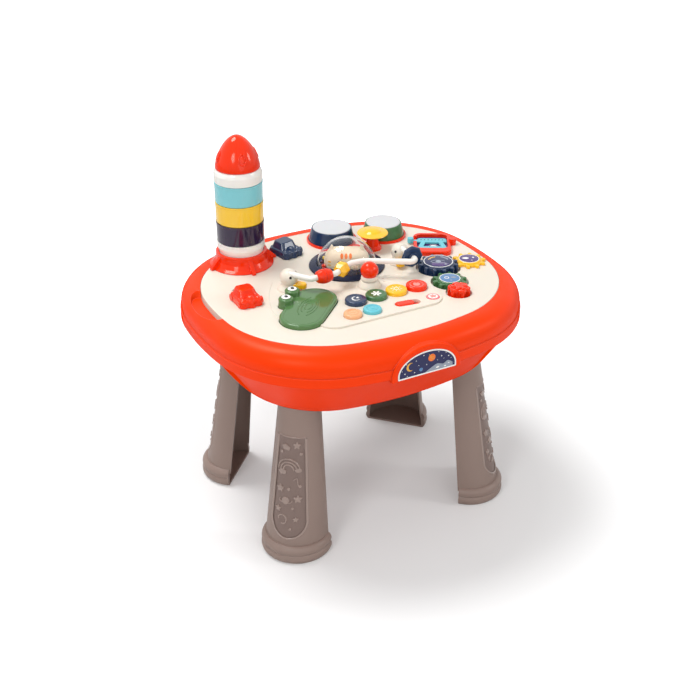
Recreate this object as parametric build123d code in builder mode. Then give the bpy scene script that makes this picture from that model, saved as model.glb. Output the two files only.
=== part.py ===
from build123d import *
from math import atan2, cos, degrees, hypot, pi, radians, sin, sqrt
import os

# A child's activity table in millimetres. The origin is on the floor under the middle of
# the table, +Z is up, the front with the picture plate faces -Y.

os.makedirs("parts", exist_ok=True)

# Walls and clearances
shell_wall = 2.6
panel_wall = 3.0
leg_wall = 3.0
cup_wall = 1.8
seat_gap = 0.3
slip_gap = 0.4
key_gap = 0.8
bore_gap = 0.05

# Heights, each rising from the one before: legs, bowl, band and rim
leg_length = 214.0
bowl_depth = 69.0
band_height = 14.5
rim_rise = 30.0
ledge_drop = 14.5
bowl_bottom = leg_length
band_bottom = bowl_bottom + bowl_depth
seam_height = band_bottom + band_height
table_height = seam_height + rim_rise
ledge_height = table_height - ledge_drop

# Outline of the tub at the seam: half lengths, and the radii of its end, side and corner arcs
tub_outline = (225.0, 200.7, 475.0, 500.0, 161.0)
band_proud = 1.5
rim_fillet = 0.8 * rim_rise
bowl_inset = 4.0
bowl_taper = 33.7
bowl_fillet = 45.0

# Outline of the play panel, in the same terms
panel_outline = (200.7, 171.2, 415.0, 419.0, 143.5)
ledge_width = 6.0
ledge_thickness = 3.0

# Legs
leg_reach = (136.1, 100.1)
leg_turn = 43.2
foot_radius = 46.5
foot_bead = foot_radius + 2.5
foot_height = 26.0
leg_low_radius = 43.5
leg_top_radius = 27.0
leg_root = 22.0
leg_top = bowl_bottom + leg_root
leg_lean = 0.1
leg_centre = 6.0
foot_floor = 3.0
leg_window_depth = 1.2
plug_radius = 12.0
plug_length = 9.0

# Hood and picture plate at the front
hood_half_width = 50.5
hood_bottom = band_bottom - 4.5
hood_side = 8.0
hood_top = table_height - 5.5
hood_depth = 13.0
plate_margin = 7.5
plate_thickness = 1.2

# Finger notch in the rim, at the left end
notch_middle = 22.0
notch_length = 84.0
notch_depth = 16.0
notch_cut = 9.0
notch_bottom = table_height - notch_cut

# Rocket
rocket_place = (-107.1, 122.1)
cup_radius = 33.5
cup_pitch = 28.6
cup_spigot = 4.0
cup_spigot_gap = 0.9
cup_rest = 0.15
cup_stand = 8.1
collar_height = 20.8
shoulder_height = 18.8
nose_height = 45.2
first_cup_bottom = table_height + cup_stand
rocket_collar_top = table_height + collar_height
seat_radius = cup_radius - 2.5
rocket_collar_radius = seat_radius + 4.6
rocket_skirt_radius = rocket_collar_radius + 8.9
fin_reach = rocket_skirt_radius + 5.0
nose_radius = cup_radius - 2.8
nose_bottom = first_cup_bottom + 4 * cup_pitch + shoulder_height
nose_top = nose_bottom + nose_height

# Drums and cymbal
left_drum = (39.0, 128.5)
right_drum = (114.0, 109.0)
bezel_width = 2.4
bezel_height = 3.4
left_head_radius = 27.6
right_head_radius = 24.8
drum_height = 21.0
drum_flare = 4.5
drum_rim = 1.8
cymbal_place = (77.0, 75.0)
cymbal_radius = 22.3
cymbal_height = 22.0
cymbal_stem_radius = 13.0

# Dome
dome_place = (16.5, 41.0)
dome_radius = 42.0
dome_wall = 1.6
dome_base_radius = dome_radius + 11.0
dome_base_height = 5.0
spindle_radius = 6.0
cat_turn = -28.65

# Bead rail
rail_radius = 4.0
rail_rise = 23.5
rail_height = table_height + rail_rise
rail_points = [(-88, 12), (-70, -17), (-32, -18), (0, 1), (20, -1), (84, -39), (87, 12)]
rail_bend = 7.0
bead_gap = 0.6
left_duck = (-86.0, 15.0)
right_duck = (87.0, 15.0)
duck_radius = 12.0
duck_drop = 7.0
duck_height = rail_height - duck_drop

# Joystick
stick_place = (12.8, -30.0)
stick_ball_radius = 12.2
stick_ball_rise = 23.0
stick_ball_height = table_height + stick_ball_rise
stick_radius = 4.0
stick_pivot_drop = 2.5
stick_pivot_height = table_height - stick_pivot_drop
gimbal_radius = 9.4
gimbal_inner = 6.8
gimbal_half = 2.2
pivot_pin = 1.4
boot_inner = gimbal_radius + 0.8
boot_mouth = gimbal_radius + 0.4
boot_radius = boot_inner + 5.8
boot_height = 9.2

# Round buttons: name, place and radius
button_row = [
    ("button_navy", (-28.0, -66.0), 14.6),
    ("button_green", (2.9, -66.0), 14.6),
    ("button_yellow", (33.8, -66.0), 14.6),
    ("button_red", (64.7, -67.0), 14.6),
    ("button_peach", (-50.7, -99.6), 12.3),
    ("button_blue", (-22.3, -100.2), 12.3),
]
button_travel = 2.5
button_proud = 6.8
button_flange = 0.6

# Slide switch and star lens
switch_place = (30.0, -102.0)
switch_turn = -8.0
switch_size = (27.0, 13.0)
switch_travel = 8.0
switch_rise = 3.2
switch_corner = 6.3
lens_place = (68.5, -103.0)
lens_radius = 9.0

# Gears: all share one tooth pitch, so they run together
gear_module = 4.334
lobe_radius = 2.75
lobe_rise = -0.4
gear_root_drop = 2.9
gear_bore = 4.0
gear_recess = 6.0
gear_place = (125.5, -25.1)
gear_teeth = {"navy": 12, "green": 10, "yellow": 10, "flower": 6}

# Frog key
frog_place = (-92.5, -56.0)
frog_turn = 45.0
frog_radius = 29.5
frog_half_length = 27.0
frog_proud = 6.0
frog_eye_radius = 10.4
frog_eye_offset = frog_radius + 2.5
frog_eye_along = (3.0, 28.5)
frog_eye_top = 13.0
frog_travel = 2.5

# Toy cars in their slots
car_size = (33.0, 40.0)
car_height = 19.0
orange_car = (-153.0, 6.0)
orange_car_turn = 0.0
navy_car = (-39.5, 119.0)
navy_car_turn = 13.0
car_slot_width = 6.0
car_travel = 34.0
navy_car_travel = 21.0

# Picture slider
slider_place = (156.0, 40.0)
slider_turn = -30.0
slider_size = (54.0, 68.0)
slider_corner = 12.0
slider_wall = 5.0
slider_height = 6.5
shutter_travel = 9.0

# Console step around the keys
console_front = -121.0
console_back = -46.0
console_left = -100.0
console_right = 82.0
console_rise = 2.4

# Inside the play unit
tray_inset = 16.0
tray_depth = 31.0
tray_floor = table_height - tray_depth
post_depth = 17.5
post_joint = table_height - post_depth
post_radius = 4.5
screw_radius = 1.5
screw_places = [(-172, 20), (172, 12), (-60, -132), (60, -132), (-62, 136), (70, 138)]
board_place = (9.0, -82.0)
board_size = (136.0, 56.0)
board_depth = 18.5
board_height = table_height - board_depth
board_thickness = 1.6
mat_thickness = 1.2
mat_dome = 4.6
battery_radius = 7.25
battery_length = 50.5
battery_place = (20.0, 45.0)
speaker_place = (-50.0, 40.0)
speaker_radius = 25.0


# Shared shapes


def outline_face(plane, size, inset=0.0):
    # A squarish oval of eight tangent arcs, moved inwards in parallel by the inset
    half_x, half_y, end_radius, side_radius, corner_radius = size
    end_centre = Vector(half_x - end_radius, 0)
    side_centre = Vector(0, half_y - side_radius)
    between = side_centre - end_centre
    end_reach = end_radius - corner_radius
    side_reach = side_radius - corner_radius
    along = (between.length**2 + end_reach**2 - side_reach**2) / (2 * between.length)
    away = sqrt(end_reach**2 - along**2)
    step = between.normalized()
    corner = end_centre + step * along + Vector(-step.Y, step.X) * away
    from_end = (corner - end_centre).normalized()
    from_side = (corner - side_centre).normalized()
    radius = corner_radius - inset
    first = corner + from_end * radius
    middle = corner + (from_end + from_side).normalized() * radius
    last = corner + from_side * radius
    with BuildSketch(plane) as face:
        with BuildLine():
            for sx, sy in ((1, 1), (-1, 1), (-1, -1), (1, -1)):
                ThreePointArc(
                    (sx * first.X, sy * first.Y),
                    (sx * middle.X, sy * middle.Y),
                    (sx * last.X, sy * last.Y),
                )
            for side in (1, -1):
                ThreePointArc(
                    (side * first.X, -first.Y),
                    (side * (half_x - inset), 0),
                    (side * first.X, first.Y),
                )
                ThreePointArc(
                    (-last.X, side * last.Y),
                    (0, side * (half_y - inset)),
                    (last.X, side * last.Y),
                )
        make_face()
    return face.sketch


def level(height):
    # The horizontal plane at a height above the floor
    return Plane.XY.offset(height)


def level_at(place, height, turn=0.0):
    # A horizontal plane with its origin over a place on the panel, turned about +Z
    heading = Vector(cos(radians(turn)), sin(radians(turn)), 0)
    return Plane(origin=(place[0], place[1], height), x_dir=heading, z_dir=(0, 0, 1))


def below(height):
    # The horizontal plane at a height, facing down
    return Plane(origin=(0, 0, height), x_dir=(1, 0, 0), z_dir=(0, 0, -1))


def save(piece, name):
    piece.part.label = name
    export_step(piece.part, f"parts/{name}.step")


def turned(place, points):
    # Revolve a closed profile of (radius, height) points about the upright axis at a place
    upright = Plane(origin=(place[0], place[1], 0), x_dir=(1, 0, 0), z_dir=(0, -1, 0))
    with BuildPart() as body:
        with BuildSketch(upright):
            with BuildLine():
                Polyline(*points, close=True)
            make_face()
        revolve(axis=Axis((place[0], place[1], 0), (0, 0, 1)))
    return body.part


def egg(centre, radii, turn=0.0):
    # A ball stretched to three radii, then turned about +Z
    with BuildPart() as ball:
        Sphere(1)
    return ball.part.scale(radii).moved(Location(centre, (0, 0, turn)))


panel_under = table_height - panel_wall
recess_floor = table_height - gear_recess
recess_under = recess_floor - panel_wall
mat_bottom = board_height + board_thickness
key_foot = mat_bottom + mat_dome + seat_gap


# Lower bowl with its proud band


def hood_profile(plane, shrink):
    # The arch of the hood: a flat foot, short upright sides and a half ellipse on top
    half = hood_half_width - shrink
    foot = hood_bottom + shrink * 0.35
    spring = hood_bottom + hood_side
    rise = hood_top - shrink - spring
    with BuildSketch(plane) as arch:
        with BuildLine():
            Polyline((-half, spring), (-half, foot), (half, foot), (half, spring))
            EllipticalCenterArc((0, spring), half, rise, start_angle=0, arc_size=180)
        make_face()
    return arch.sketch


front_face = tub_outline[1] + band_proud
front_plane = Plane(origin=(0, -front_face, 0), x_dir=(1, 0, 0), z_dir=(0, -1, 0))

with BuildPart() as bowl_hollow:
    extrude(
        outline_face(below(band_bottom), tub_outline, bowl_inset + shell_wall),
        amount=band_bottom - bowl_bottom - shell_wall,
        taper=bowl_taper,
    )
    fillet(bowl_hollow.faces().sort_by(Axis.Z)[0].edges(), bowl_fillet - shell_wall)
    extrude(
        outline_face(level(band_bottom), tub_outline, bowl_inset + shell_wall),
        amount=seam_height - band_bottom,
    )

with BuildPart() as lower_bowl:
    extrude(
        outline_face(below(band_bottom), tub_outline, bowl_inset),
        amount=band_bottom - bowl_bottom,
        taper=bowl_taper,
    )
    fillet(lower_bowl.faces().sort_by(Axis.Z)[0].edges(), bowl_fillet)
bowl_form = lower_bowl.part

leg_frames = []
for side_x, side_y in ((-1, -1), (1, -1), (-1, 1), (1, 1)):
    outward = Vector(side_x * cos(radians(leg_turn)), side_y * sin(radians(leg_turn)), 0)
    across = Vector(outward.Y, -outward.X, 0)
    leg_frames.append(
        Plane(
            origin=(side_x * leg_reach[0], side_y * leg_reach[1], 0),
            x_dir=across,
            z_dir=(0, 0, 1),
        )
    )


def leg_plane(frame, height):
    # The leg leans in towards the middle of the table as it rises
    inward = frame.y_dir * (-leg_lean * height)
    return Plane(
        origin=frame.origin + inward + Vector(0, 0, height),
        x_dir=frame.x_dir,
        z_dir=(0, 0, 1),
    )


with lower_bowl:
    with BuildPart(mode=Mode.PRIVATE) as band:
        extrude(
            outline_face(level(band_bottom), tub_outline, -band_proud),
            amount=seam_height - band_bottom,
        )
        fillet(band.faces().sort_by(Axis.Z)[0].edges(), 2.0)
        chamfer(band.faces().sort_by(Axis.Z)[-1].edges(), 0.8)
    add(band.part)
    add(bowl_hollow.part, mode=Mode.SUBTRACT)
    extrude(
        hood_profile(front_plane.offset(5), -slip_gap / 2),
        amount=-(hood_depth + 5 + slip_gap),
        mode=Mode.SUBTRACT,
    )
    for frame in leg_frames:
        with BuildSketch(leg_plane(frame, bowl_bottom - 5)):
            with Locations((0, leg_centre + 4)):
                Circle(plug_radius + 0.15)
        extrude(amount=20, mode=Mode.SUBTRACT)
save(lower_bowl, "lower_bowl")


# Upper rim: an inverted channel around the play panel

with BuildPart() as rim_hollow:
    extrude(
        outline_face(level(seam_height), tub_outline, shell_wall),
        amount=table_height - seam_height - shell_wall,
    )
    fillet(rim_hollow.faces().sort_by(Axis.Z)[-1].edges(), rim_fillet - shell_wall)
    extrude(
        outline_face(level(seam_height), panel_outline, -(slip_gap + shell_wall)),
        amount=table_height - seam_height,
        mode=Mode.SUBTRACT,
    )

with BuildPart() as rim_form:
    extrude(outline_face(level(seam_height), tub_outline), amount=table_height - seam_height)
    fillet(rim_form.faces().sort_by(Axis.Z)[-1].edges(), rim_fillet)


def notch_scoop(wall):
    # The finger notch is a scoop beside the panel's left end, wider towards the top
    with BuildPart() as scoop:
        with BuildSketch(level_at((-panel_outline[0], notch_middle), notch_bottom - wall)):
            Ellipse(notch_depth + wall, notch_length / 2 + wall)
        extrude(amount=notch_cut + wall + 1, taper=-25)
    return scoop.part


with BuildPart() as upper_rim:
    add(rim_form.part)
    add(rim_hollow.part, mode=Mode.SUBTRACT)
    with BuildPart(mode=Mode.PRIVATE) as notch_wall:
        add(notch_scoop(shell_wall))
        add(rim_form.part, mode=Mode.INTERSECT)
    add(notch_wall.part)
    add(notch_scoop(0), mode=Mode.SUBTRACT)
    extrude(
        outline_face(level(ledge_height), panel_outline, -slip_gap),
        amount=table_height - ledge_height,
        mode=Mode.SUBTRACT,
    )
    extrude(
        outline_face(level(seam_height), panel_outline, ledge_width),
        amount=ledge_height - seam_height,
        mode=Mode.SUBTRACT,
    )
    extrude(
        outline_face(level(seam_height), panel_outline, -slip_gap),
        amount=ledge_height - ledge_thickness - seam_height,
        mode=Mode.SUBTRACT,
    )
    # The hood arches down over the band of the bowl, open at its back
    extrude(hood_profile(front_plane, 0), amount=-hood_depth)
    extrude(
        hood_profile(front_plane.offset(-shell_wall - plate_thickness), shell_wall),
        amount=-hood_depth,
        mode=Mode.SUBTRACT,
    )
    fillet(upper_rim.faces().sort_by(Axis.Y)[0].edges(), 2.0)
    extrude(
        hood_profile(front_plane, plate_margin),
        amount=-plate_thickness,
        mode=Mode.SUBTRACT,
    )
save(upper_rim, "upper_rim")


# Picture plate

with BuildPart() as front_plate:
    extrude(
        hood_profile(front_plane.offset(-plate_thickness), plate_margin + 0.1),
        amount=plate_thickness,
    )
save(front_plate, "front_plate")


# Legs


def d_section(plane, radius, centre):
    # A circle cut by a chord through the plane's own X axis
    half_chord = sqrt(radius**2 - centre**2)
    with BuildSketch(plane) as section:
        with BuildLine():
            ThreePointArc((half_chord, 0), (0, centre + radius), (-half_chord, 0))
            Line((-half_chord, 0), (half_chord, 0))
        make_face()
    return section.sketch


def d_channel(plane, radius, centre, mouth):
    # The hollow of the leg: the same circle, carried out through its open inner side
    half_chord = sqrt(radius**2 - centre**2)
    with BuildSketch(plane) as section:
        with BuildLine():
            ThreePointArc((half_chord, 0), (0, centre + radius), (-half_chord, 0))
            Polyline(
                (-half_chord, 0), (-half_chord, -mouth), (half_chord, -mouth), (half_chord, 0)
            )
        make_face()
    return section.sketch


def make_leg(frame):
    low_plane = leg_plane(frame, foot_height - 6)
    high_plane = leg_plane(frame, leg_top)
    foot_plane = leg_plane(frame, foot_floor)
    ankle_plane = leg_plane(frame, foot_height + 4)
    hollow_top = bowl_bottom - 9
    share = (hollow_top - low_plane.origin.Z) / (leg_top - low_plane.origin.Z)
    hollow_radius = leg_low_radius + (leg_top_radius - leg_low_radius) * share
    axis_plane = Plane(
        origin=frame.origin + frame.y_dir * leg_centre,
        x_dir=frame.x_dir,
        z_dir=-frame.y_dir,
    )
    foot_axis = Axis(axis_plane.origin, (0, 0, 1))
    with BuildPart() as window:
        with BuildSketch(axis_plane.offset(-10)):
            with BuildLine():
                Polyline(
                    (-24.5, foot_height + 34),
                    (-18, bowl_bottom - 34),
                    (18, bowl_bottom - 34),
                    (24.5, foot_height + 34),
                )
                ThreePointArc(
                    (24.5, foot_height + 34), (0, foot_height + 10), (-24.5, foot_height + 34)
                )
            make_face()
        extrude(amount=-80)
        with BuildPart(mode=Mode.PRIVATE) as core:
            loft([
                d_section(low_plane, leg_low_radius - leg_window_depth, leg_centre),
                d_section(high_plane, leg_top_radius - leg_window_depth, leg_centre),
            ])
        add(core.part, mode=Mode.SUBTRACT)
    with BuildPart() as leg:
        loft([
            d_section(low_plane, leg_low_radius, leg_centre),
            d_section(high_plane, leg_top_radius, leg_centre),
        ])
        add(window.part, mode=Mode.SUBTRACT)
        add(bowl_form, mode=Mode.SUBTRACT)
        with BuildPart(mode=Mode.PRIVATE) as foot:
            with BuildSketch(axis_plane):
                with BuildLine():
                    Polyline((0, foot_height), (0, 0), (foot_radius - 1, 0), (foot_radius, 1))
                    ThreePointArc((foot_radius, 1), (foot_bead, 7), (foot_radius + 0.5, 13))
                    ThreePointArc(
                        (foot_radius + 0.5, 13),
                        (foot_bead - 0.6, 19),
                        (leg_low_radius - 0.6, foot_height),
                    )
                    Line((leg_low_radius - 0.6, foot_height), (0, foot_height))
                make_face()
            revolve(axis=foot_axis)
            split(bisect_by=Plane(origin=frame.origin, z_dir=frame.y_dir), keep=Keep.TOP)
        add(foot.part)
        with BuildPart(mode=Mode.PRIVATE) as hollow:
            loft([
                d_channel(foot_plane, foot_radius - leg_wall, leg_centre, 12),
                d_channel(ankle_plane, leg_low_radius - leg_wall, leg_centre, 12),
            ])
            loft([
                d_channel(ankle_plane, leg_low_radius - leg_wall, leg_centre, 12),
                d_channel(leg_plane(frame, hollow_top), hollow_radius - leg_wall, leg_centre, 12),
            ])
        add(hollow.part, mode=Mode.SUBTRACT)
        # The plug goes up through the bowl's floor
        with BuildSketch(leg_plane(frame, bowl_bottom - 6)):
            with Locations((0, leg_centre + 4)):
                Circle(plug_radius)
        extrude(amount=6 + shell_wall + plug_length)
    return leg


leg_names = ["leg_front_left", "leg_front_right", "leg_back_left", "leg_back_right"]
for frame, name in zip(leg_frames, leg_names):
    save(make_leg(frame), name)


# Gears


def gear_pitch(colour):
    return gear_module * gear_teeth[colour] / 2


def beside(place, heading, distance):
    return (
        place[0] + distance * cos(radians(heading)),
        place[1] + distance * sin(radians(heading)),
    )


green_heading = -102.8
yellow_heading = -7.0
flower_heading = -102.0
green_place = beside(gear_place, green_heading, gear_pitch("navy") + gear_pitch("green"))
yellow_place = beside(gear_place, yellow_heading, gear_pitch("navy") + gear_pitch("yellow"))
flower_place = beside(green_place, flower_heading, gear_pitch("green") + gear_pitch("flower"))


def meshed_phase(driver_teeth, driver_phase, teeth, heading):
    # The turn that puts a gap of the gear where the driver's nearest tooth points
    ahead = (driver_phase - heading) % (360 / driver_teeth)
    return heading + 180 + 180 / teeth - ahead * driver_teeth / teeth


navy_phase = green_heading
green_phase = meshed_phase(gear_teeth["navy"], navy_phase, gear_teeth["green"], green_heading)
yellow_phase = meshed_phase(gear_teeth["navy"], navy_phase, gear_teeth["yellow"], yellow_heading)
flower_phase = meshed_phase(gear_teeth["green"], green_phase, gear_teeth["flower"], flower_heading)

# Colour: place, phase, seat and underside of the plate it turns on, height above it, cap
gear_specs = {
    "navy": (gear_place, navy_phase, recess_floor, recess_under, 8.0, 22.0),
    "green": (green_place, green_phase, recess_floor, recess_under, 4.0, 17.2),
    "yellow": (yellow_place, yellow_phase, table_height, panel_under, 4.0, 16.6),
    "flower": (flower_place, flower_phase, recess_floor, recess_under, 5.0, 6.5),
}


def gear_outer(colour):
    return gear_pitch(colour) + lobe_rise + lobe_radius


def lobed_face(plane, teeth, pitch):
    # A round body with straight-sided, round-ended teeth
    root = pitch - gear_root_drop
    reach = pitch + lobe_rise + lobe_radius
    with BuildSketch(plane) as face:
        Circle(root)
        with PolarLocations((root - 4 + reach) / 2, teeth):
            SlotOverall(reach - root + 4, 2 * lobe_radius)
    return face.sketch


def make_gear(colour):
    place, phase, seat, under, proud, cap_radius = gear_specs[colour]
    bottom = seat + seat_gap
    top = table_height + proud
    with BuildPart() as gear:
        extrude(
            lobed_face(level_at(place, bottom, phase), gear_teeth[colour], gear_pitch(colour)),
            amount=top - bottom,
        )
        chamfer(gear.faces().sort_by(Axis.Z)[-1].edges(), 0.8)
        if colour == "flower":
            # Petals stand on the teeth
            with BuildSketch(level_at(place, top, phase)):
                with PolarLocations(gear_pitch(colour) - 4.0, gear_teeth[colour]):
                    Circle(6.2)
                Circle(8)
            extrude(amount=4.0)
            fillet(gear.faces().sort_by(Axis.Z)[-1].edges(), 1.5)
            top = top + 4.0
        with BuildSketch(level_at(place, top)):
            Circle(cap_radius)
        extrude(amount=1.6)
        fillet(gear.faces().sort_by(Axis.Z)[-1].edges(), 1.3)
        with BuildSketch(level_at(place, bottom)):
            Circle(gear_bore)
        extrude(amount=-(bottom - under + 2 * seat_gap))
        with BuildSketch(level_at(place, under - seat_gap)):
            Circle(gear_bore + 1.3)
        extrude(amount=-2.0)
    return gear


for colour in gear_specs:
    save(make_gear(colour), f"gear_{colour}")


# Play panel


def frog_outline(plane, grow):
    # The frog's body is a long round-ended slot, with two round eye lumps at one side
    with BuildSketch(plane) as face:
        SlotCenterToCenter(2 * frog_half_length, 2 * (frog_radius + grow))
        for along in frog_eye_along:
            with Locations((along, frog_eye_offset)):
                Circle(frog_eye_radius + grow)
    return face.sketch


def recess_face(plane, grow):
    with BuildSketch(plane) as face:
        for colour, spare in (("navy", 3.0), ("green", 2.0), ("flower", 2.4)):
            place = gear_specs[colour][0]
            with Locations(place):
                Circle(gear_outer(colour) + spare + grow)
    return face.sketch


def car_slot(place, turn, travel, grow, plane_height):
    # The slot runs from under the car, back along its own length
    with BuildSketch(level_at(place, plane_height, turn)) as face:
        with Locations((0, travel / 2)):
            RectangleRounded(
                car_slot_width + 2 * grow, travel + 16 + 2 * grow, car_slot_width / 2 + grow - 0.1
            )
    return face.sketch


with BuildPart() as console:
    with BuildSketch(level(table_height - 1)):
        with Locations(
            ((console_left + console_right) / 2, (console_front + console_back) / 2)
        ):
            RectangleRounded(
                console_right - console_left, console_back - console_front, 24
            )
    extrude(amount=6)
    slope = Vector(0, console_rise, console_back - console_front)
    split(
        bisect_by=Plane(
            origin=(0, console_back, table_height), x_dir=(1, 0, 0), z_dir=slope.normalized()
        ),
        keep=Keep.BOTTOM,
    )

with BuildPart() as play_panel:
    extrude(outline_face(level(panel_under), panel_outline), amount=panel_wall)
    fillet(play_panel.faces().sort_by(Axis.Z)[-1].edges(), 1.2)
    add(console.part)
    # Skirt that stands on the ledge of the rim
    extrude(
        outline_face(level(ledge_height + 0.1), panel_outline)
        - outline_face(level(ledge_height + 0.1), panel_outline, shell_wall),
        amount=panel_under - ledge_height,
    )
    # Tub of the gears, below the panel
    extrude(recess_face(level(recess_under), 2.5), amount=panel_under - recess_under)
    extrude(recess_face(level(recess_floor), 0), amount=gear_recess + 5, mode=Mode.SUBTRACT)
    for colour in gear_specs:
        place = gear_specs[colour][0]
        with BuildSketch(level_at(place, recess_under - 1)):
            Circle(gear_bore + bore_gap)
        extrude(amount=panel_wall + 8, mode=Mode.SUBTRACT)
    # Keys
    for name, place, radius in button_row:
        with BuildSketch(level_at(place, panel_under - 1)):
            Circle(radius + seat_gap)
        extrude(amount=panel_wall + 6, mode=Mode.SUBTRACT)
    extrude(
        frog_outline(level_at(frog_place, panel_under - 1, frog_turn), key_gap),
        amount=panel_wall + 6,
        mode=Mode.SUBTRACT,
    )
    with BuildSketch(level_at(switch_place, panel_under - 1, switch_turn)):
        RectangleRounded(
            switch_size[0] + switch_travel + 1, switch_size[1] + 2 * key_gap, switch_corner + key_gap
        )
    extrude(amount=panel_wall + 6, mode=Mode.SUBTRACT)
    with BuildSketch(level_at(lens_place, panel_under - 1)):
        Circle(lens_radius + 0.1)
    extrude(amount=panel_wall + 6, mode=Mode.SUBTRACT)
    with BuildSketch(level_at(stick_place, panel_under - 1)):
        Circle(boot_radius - 1)
    extrude(amount=panel_wall + 6, mode=Mode.SUBTRACT)
    with BuildSketch(level_at(dome_place, panel_under - 1)):
        Circle(spindle_radius + bore_gap)
    extrude(amount=panel_wall + 6, mode=Mode.SUBTRACT)
    with BuildSketch(level_at(cymbal_place, panel_under - 1)):
        Circle(3.0 + bore_gap)
    extrude(amount=panel_wall + 6, mode=Mode.SUBTRACT)
    extrude(
        car_slot(orange_car, orange_car_turn, car_travel, 0, panel_under - 1),
        amount=panel_wall + 6,
        mode=Mode.SUBTRACT,
    )
    extrude(
        car_slot(navy_car, navy_car_turn, navy_car_travel, 0, panel_under - 1),
        amount=panel_wall + 6,
        mode=Mode.SUBTRACT,
    )
    # Screw posts
    for place in screw_places:
        with BuildSketch(level_at(place, post_joint)):
            Circle(post_radius)
            Circle(screw_radius + 0.1, mode=Mode.SUBTRACT)
        extrude(amount=panel_under - post_joint)
save(play_panel, "play_panel")


# Underside of the play unit, a tray screwed to the posts

with BuildPart() as panel_underside:
    extrude(
        outline_face(level(tray_floor), panel_outline, tray_inset),
        amount=panel_under - tray_floor,
    )
    fillet(panel_underside.faces().sort_by(Axis.Z)[0].edges(), 4)
    extrude(
        outline_face(level(tray_floor + 2.5), panel_outline, tray_inset + 2),
        amount=panel_under - tray_floor,
        mode=Mode.SUBTRACT,
    )
    for place in screw_places:
        with BuildSketch(level_at(place, tray_floor)):
            Circle(post_radius)
        extrude(amount=post_joint - tray_floor)
    for place in screw_places:
        with BuildSketch(level_at(place, tray_floor)):
            Circle(screw_radius + 0.1)
        extrude(amount=post_joint - tray_floor, mode=Mode.SUBTRACT)
        with BuildSketch(level_at(place, tray_floor)):
            Circle(3.2)
        extrude(amount=4, mode=Mode.SUBTRACT)
    # Battery opening with a ledge, and posts of the circuit board
    with BuildSketch(level_at(battery_place, tray_floor)):
        RectangleRounded(battery_length + 12, 6 * battery_radius + 8, 3)
    extrude(amount=2.5, mode=Mode.SUBTRACT)
    with BuildSketch(level_at(board_place, tray_floor + 2.5)):
        with GridLocations(board_size[0] - 10, board_size[1] - 10, 2, 2):
            Circle(3.5)
    extrude(amount=board_height - tray_floor - 2.5)
    # Sound slots
    with BuildSketch(level_at(speaker_place, tray_floor)):
        with GridLocations(0, 6, 1, 5):
            SlotOverall(34, 2.5)
    extrude(amount=2.5, mode=Mode.SUBTRACT)
save(panel_underside, "panel_underside")

with BuildPart() as battery_door:
    with BuildSketch(level_at(battery_place, tray_floor)):
        RectangleRounded(battery_length + 11.6, 6 * battery_radius + 7.6, 2.8)
    extrude(amount=2.5)
    with BuildSketch(level_at(battery_place, tray_floor)):
        with GridLocations(0, 5, 1, 5):
            SlotOverall(30, 2)
    extrude(amount=0.8, mode=Mode.SUBTRACT)
save(battery_door, "battery_door")

with BuildPart() as batteries:
    for row in (-1, 0, 1):
        lying = Plane(
            origin=(
                battery_place[0] - battery_length / 2,
                battery_place[1] + row * (2 * battery_radius + 0.6),
                tray_floor + 2.5 + battery_radius + 0.05,
            ),
            z_dir=(1, 0, 0),
        )
        with BuildSketch(lying):
            Circle(battery_radius)
        extrude(amount=battery_length - 1.2)
        with BuildSketch(lying.offset(battery_length - 1.2)):
            Circle(2.7)
        extrude(amount=1.2)
save(batteries, "batteries")

with BuildPart() as loudspeaker:
    speaker_floor = tray_floor + 2.5
    add(
        turned(
            speaker_place,
            [
                (0, speaker_floor + 5.2),
                (8, speaker_floor + 3.6),
                (speaker_radius - 3, speaker_floor + 0.8),
                (speaker_radius - 3, speaker_floor),
                (speaker_radius, speaker_floor),
                (speaker_radius, speaker_floor + 2),
                (12, speaker_floor + 7),
                (12, speaker_floor + 12),
                (0, speaker_floor + 12),
            ],
        )
    )
save(loudspeaker, "loudspeaker")

with BuildPart() as circuit_board:
    with BuildSketch(level_at(board_place, board_height)):
        RectangleRounded(board_size[0], board_size[1], 2)
    extrude(amount=board_thickness)
    with BuildSketch(level_at(board_place, board_height)):
        with Locations((-20, 5)):
            Rectangle(14, 14)
        with Locations((30, -8), (44, 10), (0, -14)):
            Rectangle(8, 5)
    extrude(amount=-2)
save(circuit_board, "circuit_board")

with BuildPart() as key_mat:
    with BuildSketch(level_at(board_place, mat_bottom)):
        RectangleRounded(board_size[0] - 2, board_size[1] - 2, 2)
    extrude(amount=mat_thickness)
    for name, place, radius in button_row:
        add(
            turned(
                place,
                [
                    (0, mat_bottom + 0.6),
                    (6.5, mat_bottom + 0.6),
                    (6.5, mat_bottom + 1.8),
                    (4, mat_bottom + mat_dome),
                    (0, mat_bottom + mat_dome),
                ],
            )
        )
save(key_mat, "key_mat")

with BuildPart() as housing_screws:
    for place in screw_places:
        with BuildSketch(level_at(place, tray_floor + 1)):
            Circle(3)
        extrude(amount=2.9)
        with BuildSketch(level_at(place, tray_floor + 3)):
            Circle(screw_radius)
        extrude(amount=post_joint + 9 - tray_floor - 3)
        with BuildSketch(level_at(place, tray_floor + 1)):
            Rectangle(3.4, 0.8)
            Rectangle(0.8, 3.4)
        extrude(amount=1, mode=Mode.SUBTRACT)
save(housing_screws, "housing_screws")


# Keys: sprung caps with a flange that keeps them under the panel

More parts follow.
